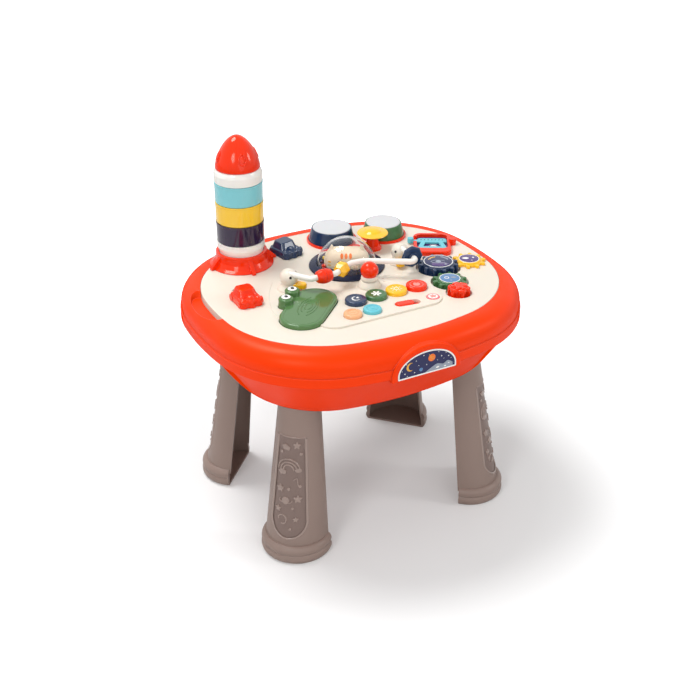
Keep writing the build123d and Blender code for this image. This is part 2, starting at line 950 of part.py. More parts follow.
for name, place, radius in button_row:
    with BuildPart() as button:
        button_top = table_height + button_proud
        button_flange_top = panel_under - seat_gap
        with BuildSketch(level_at(place, button_flange_top)):
            Circle(radius)
        extrude(amount=button_top - button_flange_top)
        fillet(button.faces().sort_by(Axis.Z)[-1].edges(), 2.4)
        with BuildSketch(level_at(place, button_top)):
            Circle(radius - 4.2)
        extrude(amount=-0.5, mode=Mode.SUBTRACT)
        with BuildSketch(level_at(place, button_flange_top)):
            Circle(radius + button_flange)
        extrude(amount=-1.8)
        with BuildSketch(level_at(place, button_flange_top)):
            Circle(radius - 1.8)
        extrude(amount=-1.8, mode=Mode.SUBTRACT)
        with BuildSketch(level_at(place, button_flange_top)):
            Circle(radius - 1.8)
        extrude(amount=button_top - button_flange_top - 2.6, mode=Mode.SUBTRACT)
        with BuildSketch(level_at(place, button_top - 2)):
            Circle(3.6)
        extrude(amount=-(button_top - 2 - button_travel - key_foot))
    save(button, name)

with BuildPart() as power_switch:
    # The flange covers the slot at both ends of the travel
    with BuildSketch(level_at(switch_place, panel_under - 1.8, switch_turn)):
        with Locations((-switch_travel / 2, 0)):
            RectangleRounded(switch_size[0] + 2 * switch_travel + 2, switch_size[1] + 8, 2)
    extrude(amount=1.8 - seat_gap)
    with BuildSketch(level_at(switch_place, panel_under - seat_gap, switch_turn)):
        with Locations((-switch_travel / 2, 0)):
            RectangleRounded(switch_size[0], switch_size[1], switch_corner)
    extrude(amount=panel_wall + seat_gap + switch_rise)
    fillet(power_switch.faces().sort_by(Axis.Z)[-1].edges(), 1.8)
save(power_switch, "power_switch")

with BuildPart() as star_lens:
    with BuildSketch(level_at(lens_place, panel_under - 1.4)):
        Circle(lens_radius + 1.6)
    extrude(amount=1.4)
    with BuildSketch(level_at(lens_place, panel_under)):
        Circle(lens_radius)
    extrude(amount=panel_wall + 2.8)
    fillet(star_lens.faces().sort_by(Axis.Z)[-1].edges(), 1.0)
save(star_lens, "star_lens")


# Frog key and its eyes

with BuildPart() as frog_key:
    frog_top = table_height + frog_proud
    frog_base = panel_under - seat_gap
    frog_plane = level_at(frog_place, frog_base, frog_turn)
    extrude(frog_outline(frog_plane, 0), amount=frog_top - frog_base)
    fillet(frog_key.faces().sort_by(Axis.Z)[-1].edges(), 2.5)
    extrude(frog_outline(frog_plane, 1.9), amount=-1.8)
    extrude(frog_outline(frog_plane, -2.4), amount=-1.8, mode=Mode.SUBTRACT)
    extrude(
        frog_outline(frog_plane, -2.4), amount=frog_top - frog_base - 2.4, mode=Mode.SUBTRACT
    )
    with BuildSketch(level_at(frog_place, frog_top - 2.4, frog_turn)):
        with Locations((-frog_half_length, 0), (frog_half_length, 0), (0, 0)):
            Circle(4)
    extrude(amount=-(frog_top - 2.4 - frog_travel - key_foot))
    for along in frog_eye_along:
        with BuildSketch(level_at(frog_place, frog_top - 2.4, frog_turn)):
            with Locations((along, frog_eye_offset)):
                Circle(frog_eye_radius - 0.4)
        extrude(amount=table_height + frog_eye_top - frog_top + 2.4)
    eye_tops = frog_key.faces().filter_by(GeomType.PLANE).sort_by(Axis.Z)[-2:]
    fillet(eye_tops.edges(), 2.6)
save(frog_key, "frog_key")

with BuildPart() as frog_eyes:
    for along in frog_eye_along:
        with BuildSketch(level_at(frog_place, table_height + frog_eye_top, frog_turn)):
            with Locations((along, frog_eye_offset)):
                Circle(6.2)
        extrude(amount=1.2)
    eye_tops = frog_eyes.faces().sort_by(Axis.Z)[-2:]
    fillet(eye_tops.edges(), 0.8)
save(frog_eyes, "frog_eyes")


# Rocket: base, five cups that stand in each other, and a nose cone


def cup_bottom(number):
    return first_cup_bottom + number * cup_pitch


spigot_radius = cup_radius - cup_wall - cup_spigot_gap

with BuildPart() as rocket_base:
    add(
        turned(
            rocket_place,
            [
                (0, table_height),
                (28, table_height),
                (28, table_height + slip_gap),
                (rocket_skirt_radius, table_height + slip_gap),
                (rocket_skirt_radius, table_height + 1.6),
                (rocket_skirt_radius - 4, table_height + 4.4),
                (rocket_collar_radius + 1.2, table_height + 10),
                (rocket_collar_radius, table_height + 15),
                (rocket_collar_radius, rocket_collar_top - 0.8),
                (rocket_collar_radius - 0.8, rocket_collar_top),
                (seat_radius + 0.6, rocket_collar_top),
                (seat_radius + 0.6, first_cup_bottom - cup_rest),
                (0, first_cup_bottom - cup_rest),
            ],
        )
    )
    for heading in (186, -8, -94, 86):
        spoke = Vector(cos(radians(heading)), sin(radians(heading)), 0)
        fin_plane = Plane(
            origin=(rocket_place[0], rocket_place[1], 0),
            x_dir=spoke,
            z_dir=(spoke.Y, -spoke.X, 0),
        )
        with BuildSketch(fin_plane.offset(-2.6)):
            with BuildLine():
                fin_low = table_height + slip_gap
                Polyline(
                    (rocket_collar_radius - 2, rocket_collar_top - 3),
                    (rocket_collar_radius - 2, fin_low),
                    (fin_reach, fin_low),
                    (fin_reach, fin_low + 3),
                )
                ThreePointArc(
                    (fin_reach, fin_low + 3),
                    (fin_reach - 6, fin_low + 9),
                    (rocket_collar_radius - 2, rocket_collar_top - 3),
                )
            make_face()
        extrude(amount=5.2)
save(rocket_base, "rocket_base")


def make_cup(number, outside, inside_top):
    # A cup from its outside profile: floor, wall and a short spigot that centres it
    bottom = cup_bottom(number)
    inside = [(inside_top, outside[-1][1]), (inside_top, outside[-1][1] - 3.4)]
    inside.append((outside[0][0] - cup_wall, bottom + cup_wall + 1.5))
    inside.append((outside[0][0] - cup_wall - 1.5, bottom + cup_wall))
    with BuildPart() as cup:
        add(turned(rocket_place, [(0, bottom), *outside, *inside, (0, bottom + cup_wall)]))
        if number:
            with BuildSketch(level_at(rocket_place, bottom)):
                Circle(spigot_radius)
                Circle(spigot_radius - 1.6, mode=Mode.SUBTRACT)
            extrude(amount=-cup_spigot)
    return cup


def straight_cup(number):
    top = cup_bottom(number + 1) - cup_rest
    outside = [
        (cup_radius - 1.5, cup_bottom(number)),
        (cup_radius - 0.7, cup_bottom(number) + 1),
        (cup_radius - 0.4, top - 2.4),
        (cup_radius, top - 2.0),
        (cup_radius, top),
    ]
    return make_cup(number, outside, cup_radius - cup_wall)


lower_top = cup_bottom(1) - cup_rest
lower_outside = [
    (seat_radius - 1, cup_bottom(0)),
    (seat_radius, cup_bottom(0) + 1),
    (seat_radius, rocket_collar_top + 1),
    (cup_radius - 0.4, rocket_collar_top + 8),
    (cup_radius - 0.4, lower_top - 2.4),
    (cup_radius, lower_top - 2.0),
    (cup_radius, lower_top),
]
save(make_cup(0, lower_outside, cup_radius - cup_wall), "cup_white_lower")
save(straight_cup(1), "cup_purple")
save(straight_cup(2), "cup_yellow")
save(straight_cup(3), "cup_blue")

upper_bottom = cup_bottom(4)
upper_outside = [
    (cup_radius - 1.5, upper_bottom),
    (cup_radius - 0.6, upper_bottom + 1),
    (cup_radius - 0.3, nose_bottom - 7),
    (cup_radius - 1.4, nose_bottom - 3.4),
    (nose_radius + 0.1, nose_bottom - 1),
    (nose_radius - 0.8, nose_bottom - cup_rest),
]
save(make_cup(4, upper_outside, nose_radius - cup_wall - 0.8), "cup_white_upper")


rocket_plane = Plane(
    origin=(rocket_place[0], rocket_place[1], 0), x_dir=(1, 0, 0), z_dir=(0, -1, 0)
)
rocket_axis = Axis((rocket_place[0], rocket_place[1], 0), (0, 0, 1))
nose_spigot = nose_radius - cup_wall - cup_spigot_gap - 0.9

with BuildPart() as nose_cone:
    with BuildSketch(rocket_plane):
        with BuildLine():
            # Outside: the foot, one long arc, and a blunt round tip
            Polyline(
                (nose_spigot - 1.6, nose_bottom - 3),
                (nose_spigot, nose_bottom - 3),
                (nose_spigot, nose_bottom),
                (nose_radius - 1, nose_bottom),
                (nose_radius, nose_bottom + 1.4),
            )
            side = ThreePointArc(
                (nose_radius, nose_bottom + 1.4),
                (nose_radius * 0.73, nose_bottom + (nose_top - nose_bottom) * 0.56),
                (5.0, nose_top - 1.6),
            )
            ThreePointArc((5.0, nose_top - 1.6), (3.1, nose_top - 0.55), (1.0, nose_top))
            Line((1.0, nose_top), (0, nose_top))
            # Inside: the same arc, one wall further in, cut flat below the tip
            centre = side.arc_center
            inner_radius = side.radius - cup_wall
            ledge = nose_bottom + 6
            peak = nose_top - 2.4
            waist = (ledge + peak) / 2
            inner_at = [
                centre.X + sqrt(inner_radius**2 - (height - centre.Y) ** 2)
                for height in (ledge, waist, peak)
            ]
            Polyline((0, nose_top), (0, peak), (inner_at[2], peak))
            ThreePointArc((inner_at[2], peak), (inner_at[1], waist), (inner_at[0], ledge))
            Polyline(
                (inner_at[0], ledge),
                (nose_spigot - 1.6, ledge),
                (nose_spigot - 1.6, nose_bottom - 3),
            )
        make_face()
    revolve(axis=rocket_axis)
save(nose_cone, "nose_cone")


# Drums and cymbal


def make_shell(place, head_radius):
    base = table_height
    top = table_height + drum_height
    outer = head_radius + drum_rim
    return turned(
        place,
        [
            (outer + drum_flare - 2, base),
            (outer + drum_flare, base),
            (outer + drum_flare, base + 1.4),
            (outer + drum_flare * 0.8, base + 6),
            (outer + drum_flare * 0.3, base + 14),
            (outer, top - 1.4),
            (outer - 0.6, top),
            (head_radius + seat_gap, top),
            (head_radius + seat_gap, top - 1.4),
            (head_radius + 1.0, top - 1.4),
            (head_radius + 1.0, top - 6.4),
            (head_radius - 2.4, top - 6.4),
            (head_radius - 2.4, top - 7.6),
            (outer + drum_flare - 2, base + 2),
        ],
    )


def make_head(place, head_radius):
    top = table_height + drum_height + 0.9
    flange = table_height + drum_height - 1.4 - seat_gap
    return turned(
        place,
        [
            (0, top - 2.4),
            (head_radius - 2, top - 2.4),
            (head_radius - 2, flange - 1.6),
            (head_radius + 0.7, flange - 1.6),
            (head_radius + 0.7, flange),
            (head_radius, flange),
            (head_radius, top - 0.8),
            (head_radius - 0.8, top),
            (0, top + 0.3),
        ],
    )


drum_specs = {"left": (left_drum, left_head_radius), "right": (right_drum, right_head_radius)}
for side, (place, head_radius) in drum_specs.items():
    with BuildPart() as drum_shell:
        add(make_shell(place, head_radius))
    save(drum_shell, f"drum_shell_{side}")
    with BuildPart() as drum_head:
        add(make_head(place, head_radius))
    save(drum_head, f"drum_head_{side}")

cymbal_bottom = table_height + cymbal_height

with BuildPart() as drum_bezel:
    # Arms join the rings of the two drums to the stand of the cymbal
    for place, head_radius in drum_specs.values():
        reach = (place[0] - cymbal_place[0], place[1] - cymbal_place[1])
        middle = (cymbal_place[0] + reach[0] / 2, cymbal_place[1] + reach[1] / 2)
        heading = degrees(atan2(reach[1], reach[0]))
        with BuildSketch(level_at(middle, table_height, heading)):
            Rectangle(hypot(*reach), 13)
        extrude(amount=2.2)
    add(
        turned(
            cymbal_place,
            [
                (0, table_height),
                (cymbal_stem_radius, table_height),
                (cymbal_stem_radius, table_height + 2.6),
                (cymbal_stem_radius - 3, table_height + 6),
                (7, cymbal_bottom - 3),
                (7, cymbal_bottom - seat_gap),
                (0, cymbal_bottom - seat_gap),
            ],
        )
    )
    for place, head_radius in drum_specs.values():
        inner = head_radius + drum_rim + drum_flare + 0.1
        with BuildSketch(level_at(place, table_height)):
            Circle(inner + bezel_width)
        extrude(amount=bezel_height)
    for place, head_radius in drum_specs.values():
        inner = head_radius + drum_rim + drum_flare + 0.1
        with BuildSketch(level_at(place, table_height)):
            Circle(inner)
        extrude(amount=bezel_height, mode=Mode.SUBTRACT)
    with BuildSketch(level_at(cymbal_place, table_height)):
        Circle(3.0 + bore_gap)
    extrude(amount=cymbal_height, mode=Mode.SUBTRACT)
save(drum_bezel, "drum_bezel")

with BuildPart() as cymbal:
    add(
        turned(
            cymbal_place,
            [
                (0, cymbal_bottom),
                (8, cymbal_bottom),
                (12, cymbal_bottom + 1.4),
                (cymbal_radius - 0.8, cymbal_bottom + 1.4),
                (cymbal_radius, cymbal_bottom + 2.2),
                (cymbal_radius - 0.6, cymbal_bottom + 3.2),
                (13, cymbal_bottom + 4.6),
                (10, cymbal_bottom + 6.6),
                (5, cymbal_bottom + 8),
                (0, cymbal_bottom + 8.4),
            ],
        )
    )
    with BuildSketch(level_at(cymbal_place, cymbal_bottom)):
        Circle(3.0)
    extrude(amount=-(cymbal_height + panel_wall + seat_gap))
    with BuildSketch(level_at(cymbal_place, panel_under - seat_gap)):
        Circle(4.6)
    extrude(amount=-2)
save(cymbal, "cymbal")


# Turning dome

dome_floor = table_height + 3.0

with BuildPart() as dome_base:
    add(
        turned(
            dome_place,
            [
                (0, table_height + seat_gap),
                (dome_base_radius - 0.4, table_height + seat_gap),
                (dome_base_radius, table_height + 1.4),
                (dome_base_radius - 0.6, table_height + 2.6),
                (dome_radius + 2.4, table_height + dome_base_height),
                (dome_radius + 0.3, table_height + dome_base_height),
                (dome_radius + 0.3, dome_floor),
                (0, dome_floor),
            ],
        )
    )
    with BuildSketch(level_at(dome_place, table_height + seat_gap)):
        Circle(spindle_radius)
    extrude(amount=-(panel_wall + 2 * seat_gap))
    with BuildSketch(level_at(dome_place, panel_under - seat_gap)):
        Circle(spindle_radius + 1.6)
    extrude(amount=-2.2)
save(dome_base, "dome_base")

with BuildPart() as clear_dome:
    with Locations((dome_place[0], dome_place[1], table_height)):
        Sphere(dome_radius)
        Sphere(dome_radius - dome_wall, mode=Mode.SUBTRACT)
    split(bisect_by=level(dome_floor), keep=Keep.TOP)
save(clear_dome, "clear_dome")

cat_size = dome_radius / 42
cat_front = level_at(dome_place, dome_floor, cat_turn)
cat_upright = Plane(origin=cat_front.origin, x_dir=cat_front.x_dir, z_dir=-cat_front.y_dir)

with BuildPart() as cat_figure:
    # A soft loaf that faces the front left, with ears at its upper corners and two paws
    with BuildSketch(cat_upright.offset(-17 * cat_size)):
        RectangleRounded(63 * cat_size, 48 * cat_size, 18 * cat_size)
    extrude(amount=34 * cat_size)
    loaf_ends = cat_figure.faces().sort_by(Axis(cat_front.origin, cat_front.y_dir))
    fillet(loaf_ends[0].edges() + loaf_ends[-1].edges(), 14 * cat_size)
    for side in (-1, 1):
        with Locations(cat_front):
            with Locations((side * 20.5 * cat_size, 0, 22.5 * cat_size)):
                Cone(7.5 * cat_size, cat_size, 12 * cat_size)
            with Locations((side * 12 * cat_size, -17 * cat_size, 2 * cat_size)):
                Sphere(5.5 * cat_size)
    split(bisect_by=level(dome_floor), keep=Keep.TOP)
save(cat_figure, "cat_figure")

with BuildPart() as dome_beads:
    bead_size = 3.0 * cat_size
    for turn in (0, 22, 100, 128, 175):
        with Locations(
            (
                dome_place[0] + 34.5 * cat_size * cos(radians(turn)),
                dome_place[1] + 34.5 * cat_size * sin(radians(turn)),
                dome_floor + bead_size,
            )
        ):
            Sphere(bead_size)
save(dome_beads, "dome_beads")


# Bead rail between the two duck heads

with BuildPart() as bead_rail:
    with BuildLine(level(rail_height)) as rail_path:
        FilletPolyline(*rail_points, radius=rail_bend)
    rail_start = Plane(
        origin=rail_path.line @ 0, z_dir=rail_path.line % 0
    )
    with BuildSketch(rail_start):
        Circle(rail_radius)
    sweep(path=rail_path.line)
save(bead_rail, "bead_rail")

with BuildPart() as rail_sleeve:
    with BuildSketch(rail_start):
        Circle(rail_radius + 0.1)
    sweep(path=rail_path.line)

duck_specs = ((left_duck, -45), (right_duck, -118))

with BuildPart() as rail_ducks:
    for place, heading in duck_specs:
        add(egg((place[0], place[1], duck_height), (duck_radius, duck_radius + 1.5, duck_radius)))
        add(
            turned(
                place,
                [
                    (0, table_height),
                    (duck_radius + 4, table_height),
                    (duck_radius + 3.4, table_height + 1.6),
                    (duck_radius - 1, table_height + 6),
                    (duck_radius - 2.6, duck_height - 4),
                    (0, duck_height - 2),
                ],
            )
        )
    add(rail_sleeve.part, mode=Mode.SUBTRACT)
save(rail_ducks, "rail_ducks")

with BuildPart() as duck_beaks:
    for place, heading in duck_specs:
        with BuildPart(mode=Mode.PRIVATE) as beak:
            with BuildSketch(level_at(place, table_height + 4, heading)):
                with BuildLine():
                    Polyline((6, -7), (duck_radius + 6, -6))
                    ThreePointArc(
                        (duck_radius + 6, -6), (duck_radius + 13, 0), (duck_radius + 6, 6)
                    )
                    Polyline((duck_radius + 6, 6), (6, 7), (6, -7))
                make_face()
            extrude(amount=6.5)
            fillet(beak.faces().sort_by(Axis.Z)[-1].edges(), 2.2)
        add(beak.part)
    add(rail_ducks.part, mode=Mode.SUBTRACT)
save(duck_beaks, "duck_beaks")


def rail_spot(first, share):
    # A point on a straight run of the rail, with the direction of the run
    start = Vector(*rail_points[first], rail_height)
    end = Vector(*rail_points[first + 1], rail_height)
    return start + (end - start) * share, (end - start).normalized()


def bead_turned(spot, run, profile):
    # Revolve a (distance along the rail, radius) profile about the rail
    side = Plane(origin=spot, x_dir=run, z_dir=(run.Y, -run.X, 0))
    bore = rail_radius + seat_gap
    with BuildPart() as bead:
        with BuildSketch(side):
            with BuildLine():
                Polyline((profile[0][0], bore), *profile, (profile[-1][0], bore), close=True)
            make_face()
        revolve(axis=Axis(spot, run))
    return bead.part


orange_spot, orange_run = rail_spot(1, 0.54)
yellow_spot, yellow_run = rail_spot(2, 0.42)
navy_spot, navy_run = rail_spot(5, 0.36)

with BuildPart() as bead_orange:
    add(
        bead_turned(
            orange_spot,
            orange_run,
            [(-11, 6.4), (-9.4, 8.2), (-4, 9.8), (0, 10.2), (4, 9.8), (9.4, 8.2), (11, 6.4)],
        )
    )
    for offset in (-4.6, 0, 4.6):
        groove = Plane(origin=orange_spot + orange_run * offset, z_dir=orange_run)
        with BuildSketch(groove):
            Circle(11)
            Circle(9.1, mode=Mode.SUBTRACT)
        extrude(amount=0.5, both=True, mode=Mode.SUBTRACT)
save(bead_orange, "bead_orange")

with BuildPart() as bead_yellow:
    facing = Plane(origin=yellow_spot - yellow_run * 9.5, z_dir=yellow_run)
    for start, end, low, high in ((0, 5, 6.5, 10.4), (5, 14, 10.4, 10.4), (14, 19, 10.4, 6.5)):
        with BuildSketch(facing.offset(start)):
            RegularPolygon(low, 6)
        with BuildSketch(facing.offset(end)):
            RegularPolygon(high, 6)
        loft()
    with BuildSketch(facing):
        Circle(rail_radius + seat_gap)
    extrude(amount=19, mode=Mode.SUBTRACT)
save(bead_yellow, "bead_yellow")

with BuildPart() as bead_navy:
    disc = Plane(origin=navy_spot - navy_run * 3, z_dir=navy_run)
    with BuildSketch(disc):
        RegularPolygon(15.6, 8)
    extrude(amount=6)
    disc_ends = bead_navy.faces().sort_by(Axis(navy_spot, navy_run))
    chamfer(disc_ends[0].edges() + disc_ends[-1].edges(), 1.6)
    with BuildSketch(disc.offset(-2)):
        Circle(7.4)
    extrude(amount=10)
    with BuildSketch(disc.offset(-2)):
        Circle(rail_radius + seat_gap)
    extrude(amount=10, mode=Mode.SUBTRACT)
save(bead_navy, "bead_navy")


# Joystick: a ball on a stick that tilts in a gimbal ring held by the boot

stick_pivot = Vector(stick_place[0], stick_place[1], stick_pivot_height)
along_x = Plane(origin=stick_pivot, z_dir=(1, 0, 0))
along_y = Plane(origin=stick_pivot, z_dir=(0, 1, 0))

with BuildPart() as joystick_boot:
    add(
        turned(
            stick_place,
            [
                (boot_inner, stick_pivot_height - 5),
                (boot_radius - 1.1, stick_pivot_height - 5),
                (boot_radius - 1.1, table_height),
                (boot_radius, table_height),
                (boot_radius, table_height + 1.5),
                (boot_radius - 1.6, table_height + 5),
                (boot_radius - 4.0, table_height + boot_height - 0.8),
                (boot_radius - 5.4, table_height + boot_height),
                (boot_mouth, table_height + boot_height),
                (boot_mouth, table_height + boot_height - 2),
                (boot_inner, table_height + 4),
            ],
        )
    )
    with BuildSketch(along_x.offset(-boot_radius)):
        Circle(pivot_pin + bore_gap)
    extrude(amount=2 * boot_radius, mode=Mode.SUBTRACT)
save(joystick_boot, "joystick_boot")

with BuildPart() as joystick_gimbal:
    with BuildSketch(level_at(stick_place, stick_pivot_height - gimbal_half)):
        Circle(gimbal_radius)
        Circle(gimbal_inner, mode=Mode.SUBTRACT)
    extrude(amount=2 * gimbal_half)
    with BuildSketch(along_x.offset(-boot_radius + 1.3)):
        Circle(pivot_pin)
    extrude(amount=2 * boot_radius - 2.6)
    with BuildSketch(along_y.offset(-boot_radius)):
        Circle(pivot_pin + bore_gap)
    extrude(amount=2 * boot_radius, mode=Mode.SUBTRACT)
    with BuildSketch(level_at(stick_place, stick_pivot_height - gimbal_half)):
        Circle(gimbal_inner)
    extrude(amount=2 * gimbal_half, mode=Mode.SUBTRACT)
save(joystick_gimbal, "joystick_gimbal")

with BuildPart() as joystick:
    add(
        turned(
            stick_place,
            [
                (0, stick_pivot_height - 9),
                (stick_radius, stick_pivot_height - 9),
                (stick_radius, stick_ball_height - 15),
                (stick_radius + 1.4, stick_ball_height - 13.6),
                (stick_radius + 1.4, stick_ball_height - 9),
                (0, stick_ball_height - 9),
            ],
        )
    )
    with Locations((stick_place[0], stick_place[1], stick_ball_height)):
        Sphere(stick_ball_radius)
    with BuildSketch(along_y.offset(-gimbal_radius + 0.6)):
        Circle(pivot_pin)
    extrude(amount=2 * gimbal_radius - 1.2)
save(joystick, "joystick")


# Toy cars that run in slots


def make_car(place, turn):
    width, length = car_size
    base = table_height + seat_gap
    with BuildPart() as car:
        with BuildSketch(level_at(place, base, turn)):
            RectangleRounded(width, length, 7)
        extrude(amount=car_height * 0.52)
        fillet(car.faces().sort_by(Axis.Z)[-1].edges(), 2.5)
        # Cabin, narrower at the roof
        with BuildSketch(level_at(place, base + car_height * 0.5, turn)):
            with Locations((0, 4)):
                RectangleRounded(width - 5, length - 13, 6)
        with BuildSketch(level_at(place, base + car_height, turn)):
            with Locations((0, 5)):
                RectangleRounded(width - 11, length - 21, 5)
        loft()
        fillet(car.faces().sort_by(Axis.Z)[-1].edges(), 1.8)
        # Round fenders and a bonnet at the front
        front = level_at(place, base + 5.2, turn)
        nose = front.origin - front.y_dir * (length / 2 - 8) - Vector(0, 0, 4)
        for side in (-1, 1):
            add(egg(nose + front.x_dir * side * (width / 2 - 6), (6.6, 8.6, 10.4), turn))
        add(egg(nose, (8.5, 10.2, 13.2), turn))
        split(bisect_by=level(base), keep=Keep.TOP)
        # Lamps at the front
        for side in (-1, 1):
            lamp = Plane(
                origin=front.origin + front.x_dir * side * 9.5 - front.y_dir * (length / 2 - 1),
                z_dir=-front.y_dir,
            )
            with BuildSketch(lamp):
                Circle(3.2)
            extrude(amount=1.8)
        # Wheels stand a little proud at the sides
        for side in (-1, 1):
            for along in (-12, 12):
                wheel = Plane(
                    origin=front.origin + front.x_dir * side * (width / 2 - 3)
                    + front.y_dir * along - Vector(0, 0, 0.4),
                    z_dir=front.x_dir * side,
                )
                with BuildSketch(wheel):
                    Circle(4.6)
                extrude(amount=3.8)
        # Stem through the slot, with a foot under the panel
        with BuildSketch(level_at(place, base, turn)):
            RectangleRounded(car_slot_width - 1, 15, 2)
        extrude(amount=-(panel_wall + 2 * seat_gap))
        with BuildSketch(level_at(place, panel_under - seat_gap, turn)):
            RectangleRounded(12, 20, 2)
        extrude(amount=-2)
    return car


save(make_car(orange_car, orange_car_turn), "car_orange")
save(make_car(navy_car, navy_car_turn), "car_navy")


# Picture slider


def slider_rounded(height, shrink):
    with BuildSketch(level_at(slider_place, height, slider_turn)) as face:
        RectangleRounded(
            slider_size[0] - 2 * shrink, slider_size[1] - 2 * shrink, slider_corner - shrink
        )
    return face.sketch


shutter_low = table_height + 2.6
shutter_top = table_height + 5.0
view_low = -20.0
view_high = slider_size[1] / 2 - slider_wall - 1
view_width = slider_size[0] - 2 * slider_wall
tab_at = 8.0
tab_half = 3.4


def slider_view(height, shrink, moved=0.0):
    # The opening over the picture, with a thick bar of the frame below it
    with BuildSketch(level_at(slider_place, height, slider_turn)) as face:
        with Locations((0, (view_low + view_high) / 2 + moved)):
            RectangleRounded(
                view_width - 2 * shrink, view_high - view_low - 2 * shrink, slider_corner - slider_wall
            )
    return face.sketch


with BuildPart() as slider_frame:
    extrude(slider_rounded(table_height, 0), amount=slider_height)
    fillet(slider_frame.faces().sort_by(Axis.Z)[-1].edges(), 2.0)
    extrude(slider_view(table_height, 0), amount=slider_height, mode=Mode.SUBTRACT)
    # Slot of the shutter's tab, at the left only
    with BuildSketch(level_at(slider_place, shutter_low - seat_gap, slider_turn)):
        with Locations((-slider_size[0] / 2, tab_at + shutter_travel / 2)):
            Rectangle(slider_size[0] - 12, 2 * tab_half + shutter_travel + 2 * slip_gap)
    extrude(amount=slider_height, mode=Mode.SUBTRACT)
    # Fixed knob at the right
    with BuildSketch(level_at(slider_place, table_height, slider_turn)):
        with Locations((slider_size[0] / 2 + 2.5, tab_at)):
            Circle(5.4)
    extrude(amount=slider_height + 3)
save(slider_frame, "slider_frame")

with BuildPart() as picture_card:
    extrude(slider_view(table_height, 0.2), amount=1.6)
save(picture_card, "picture_card")

with BuildPart() as slider_shutter:
    # A bar across the opening, with a window that widens downwards
    with BuildSketch(level_at(slider_place, shutter_low, slider_turn)):
        with Locations((0, tab_at + 2.8)):
            Rectangle(view_width - 1.2, 12.4)
        with Locations((0, tab_at - 14.7)):
            Trapezoid(view_width - 1.2, 22.8, 76)
        with Locations((0, tab_at - 12)):
            Trapezoid(view_width - 18, 14, 76, mode=Mode.SUBTRACT)
    extrude(amount=shutter_top - shutter_low)
    # Its corners clear those of the opening at both ends of the travel
    for moved in (0, -shutter_travel):
        extrude(
            slider_view(shutter_low, key_gap, moved),
            amount=shutter_top - shutter_low,
            mode=Mode.INTERSECT,
        )
    # Tab and knob at the left
    with BuildSketch(level_at(slider_place, shutter_low, slider_turn)):
        with Locations((-slider_size[0] / 2, tab_at)):
            RectangleRounded(15, 2 * tab_half, 2)
    extrude(amount=shutter_top - shutter_low)
    with BuildSketch(level_at(slider_place, shutter_low, slider_turn)):
        with Locations((-slider_size[0] / 2 - 4, tab_at)):
            Circle(4.4)
    extrude(amount=6.5)
save(slider_shutter, "slider_shutter")
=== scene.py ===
import bpy
import bmesh
import math
import numpy as np
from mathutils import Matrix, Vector


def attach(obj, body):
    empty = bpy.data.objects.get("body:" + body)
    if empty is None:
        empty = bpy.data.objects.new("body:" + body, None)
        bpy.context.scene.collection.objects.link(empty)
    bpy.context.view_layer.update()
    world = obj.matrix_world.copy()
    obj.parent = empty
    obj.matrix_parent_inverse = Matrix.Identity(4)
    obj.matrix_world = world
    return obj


# A child's activity table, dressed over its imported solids. Camera, lamps, materials and floor
# are in metres; the shape functions and the sizes of pieces are in millimetres.

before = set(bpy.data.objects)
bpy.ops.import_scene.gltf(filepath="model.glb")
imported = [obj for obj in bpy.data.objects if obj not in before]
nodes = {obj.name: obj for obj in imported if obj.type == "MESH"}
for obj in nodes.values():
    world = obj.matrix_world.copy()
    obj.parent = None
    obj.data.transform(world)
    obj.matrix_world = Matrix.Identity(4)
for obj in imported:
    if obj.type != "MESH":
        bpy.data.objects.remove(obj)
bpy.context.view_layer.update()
scene = bpy.context.scene
tau = 2 * math.pi
print("frame loaded:", len(nodes), "nodes")


def linear(*screen):
    # Screen colour 0..255 to a shader's linear one: a power of 2.4, and a straight line near black
    values = [((part / 255 + 0.055) / 1.055) ** 2.4 if part > 10 else part / 3295 for part in screen]
    return (*values, 1.0)


# Camera, at the photograph's place
camera = {"place": (-0.7418, -1.3566, 1.0701), "towards": (0.4198, 0.7684, -0.4831), "lens": 64.43,
          "sensor": 36, "far": 100}
cameraData = bpy.data.cameras.new("camera")
cameraData.lens = camera["lens"]
cameraData.sensor_width = camera["sensor"]
cameraData.clip_end = camera["far"]
cameraObject = bpy.data.objects.new("camera", cameraData)
cameraObject.location = camera["place"]
cameraObject.rotation_euler = Vector(camera["towards"]).to_track_quat("-Z", "Y").to_euler()
scene.collection.objects.link(cameraObject)
scene.camera = cameraObject

# Studio: soft lamps and a pale world
studio = {
    "worldLight": 0.5, "worldSeen": 1.0, "lampsLookAt": (0, 0, 0.25),
    "lamps": [
        # name, place, size, watts
        ("keyLamp", (-0.5, 0.62, 2.1), 0.9, 26),
        ("leftLamp", (-1.5, -1.1, 1.5), 0.7, 11.5),
        ("frontLamp", (-0.2, -2.1, 1.1), 1.4, 6),
        ("rightLamp", (1.5, -1.1, 1.2), 0.5, 6),
    ],
}


def addLamp(name, place, size, watts):
    lampData = bpy.data.lights.new(name, "AREA")
    lampData.shape = "DISK"
    lampData.size = size
    lampData.energy = watts
    lamp = bpy.data.objects.new(name, lampData)
    lamp.location = place
    lamp.rotation_euler = (Vector(studio["lampsLookAt"]) - Vector(place)).to_track_quat("-Z", "Y").to_euler()
    scene.collection.objects.link(lamp)


for lampSettings in studio["lamps"]:
    addLamp(*lampSettings)

world = bpy.data.worlds.new("studio")
scene.world = world
world.use_nodes = True
worldTree = world.node_tree
background = worldTree.nodes["Background"]
background.inputs["Color"].default_value = (1, 1, 1, 1)
worldRays = worldTree.nodes.new("ShaderNodeLightPath")
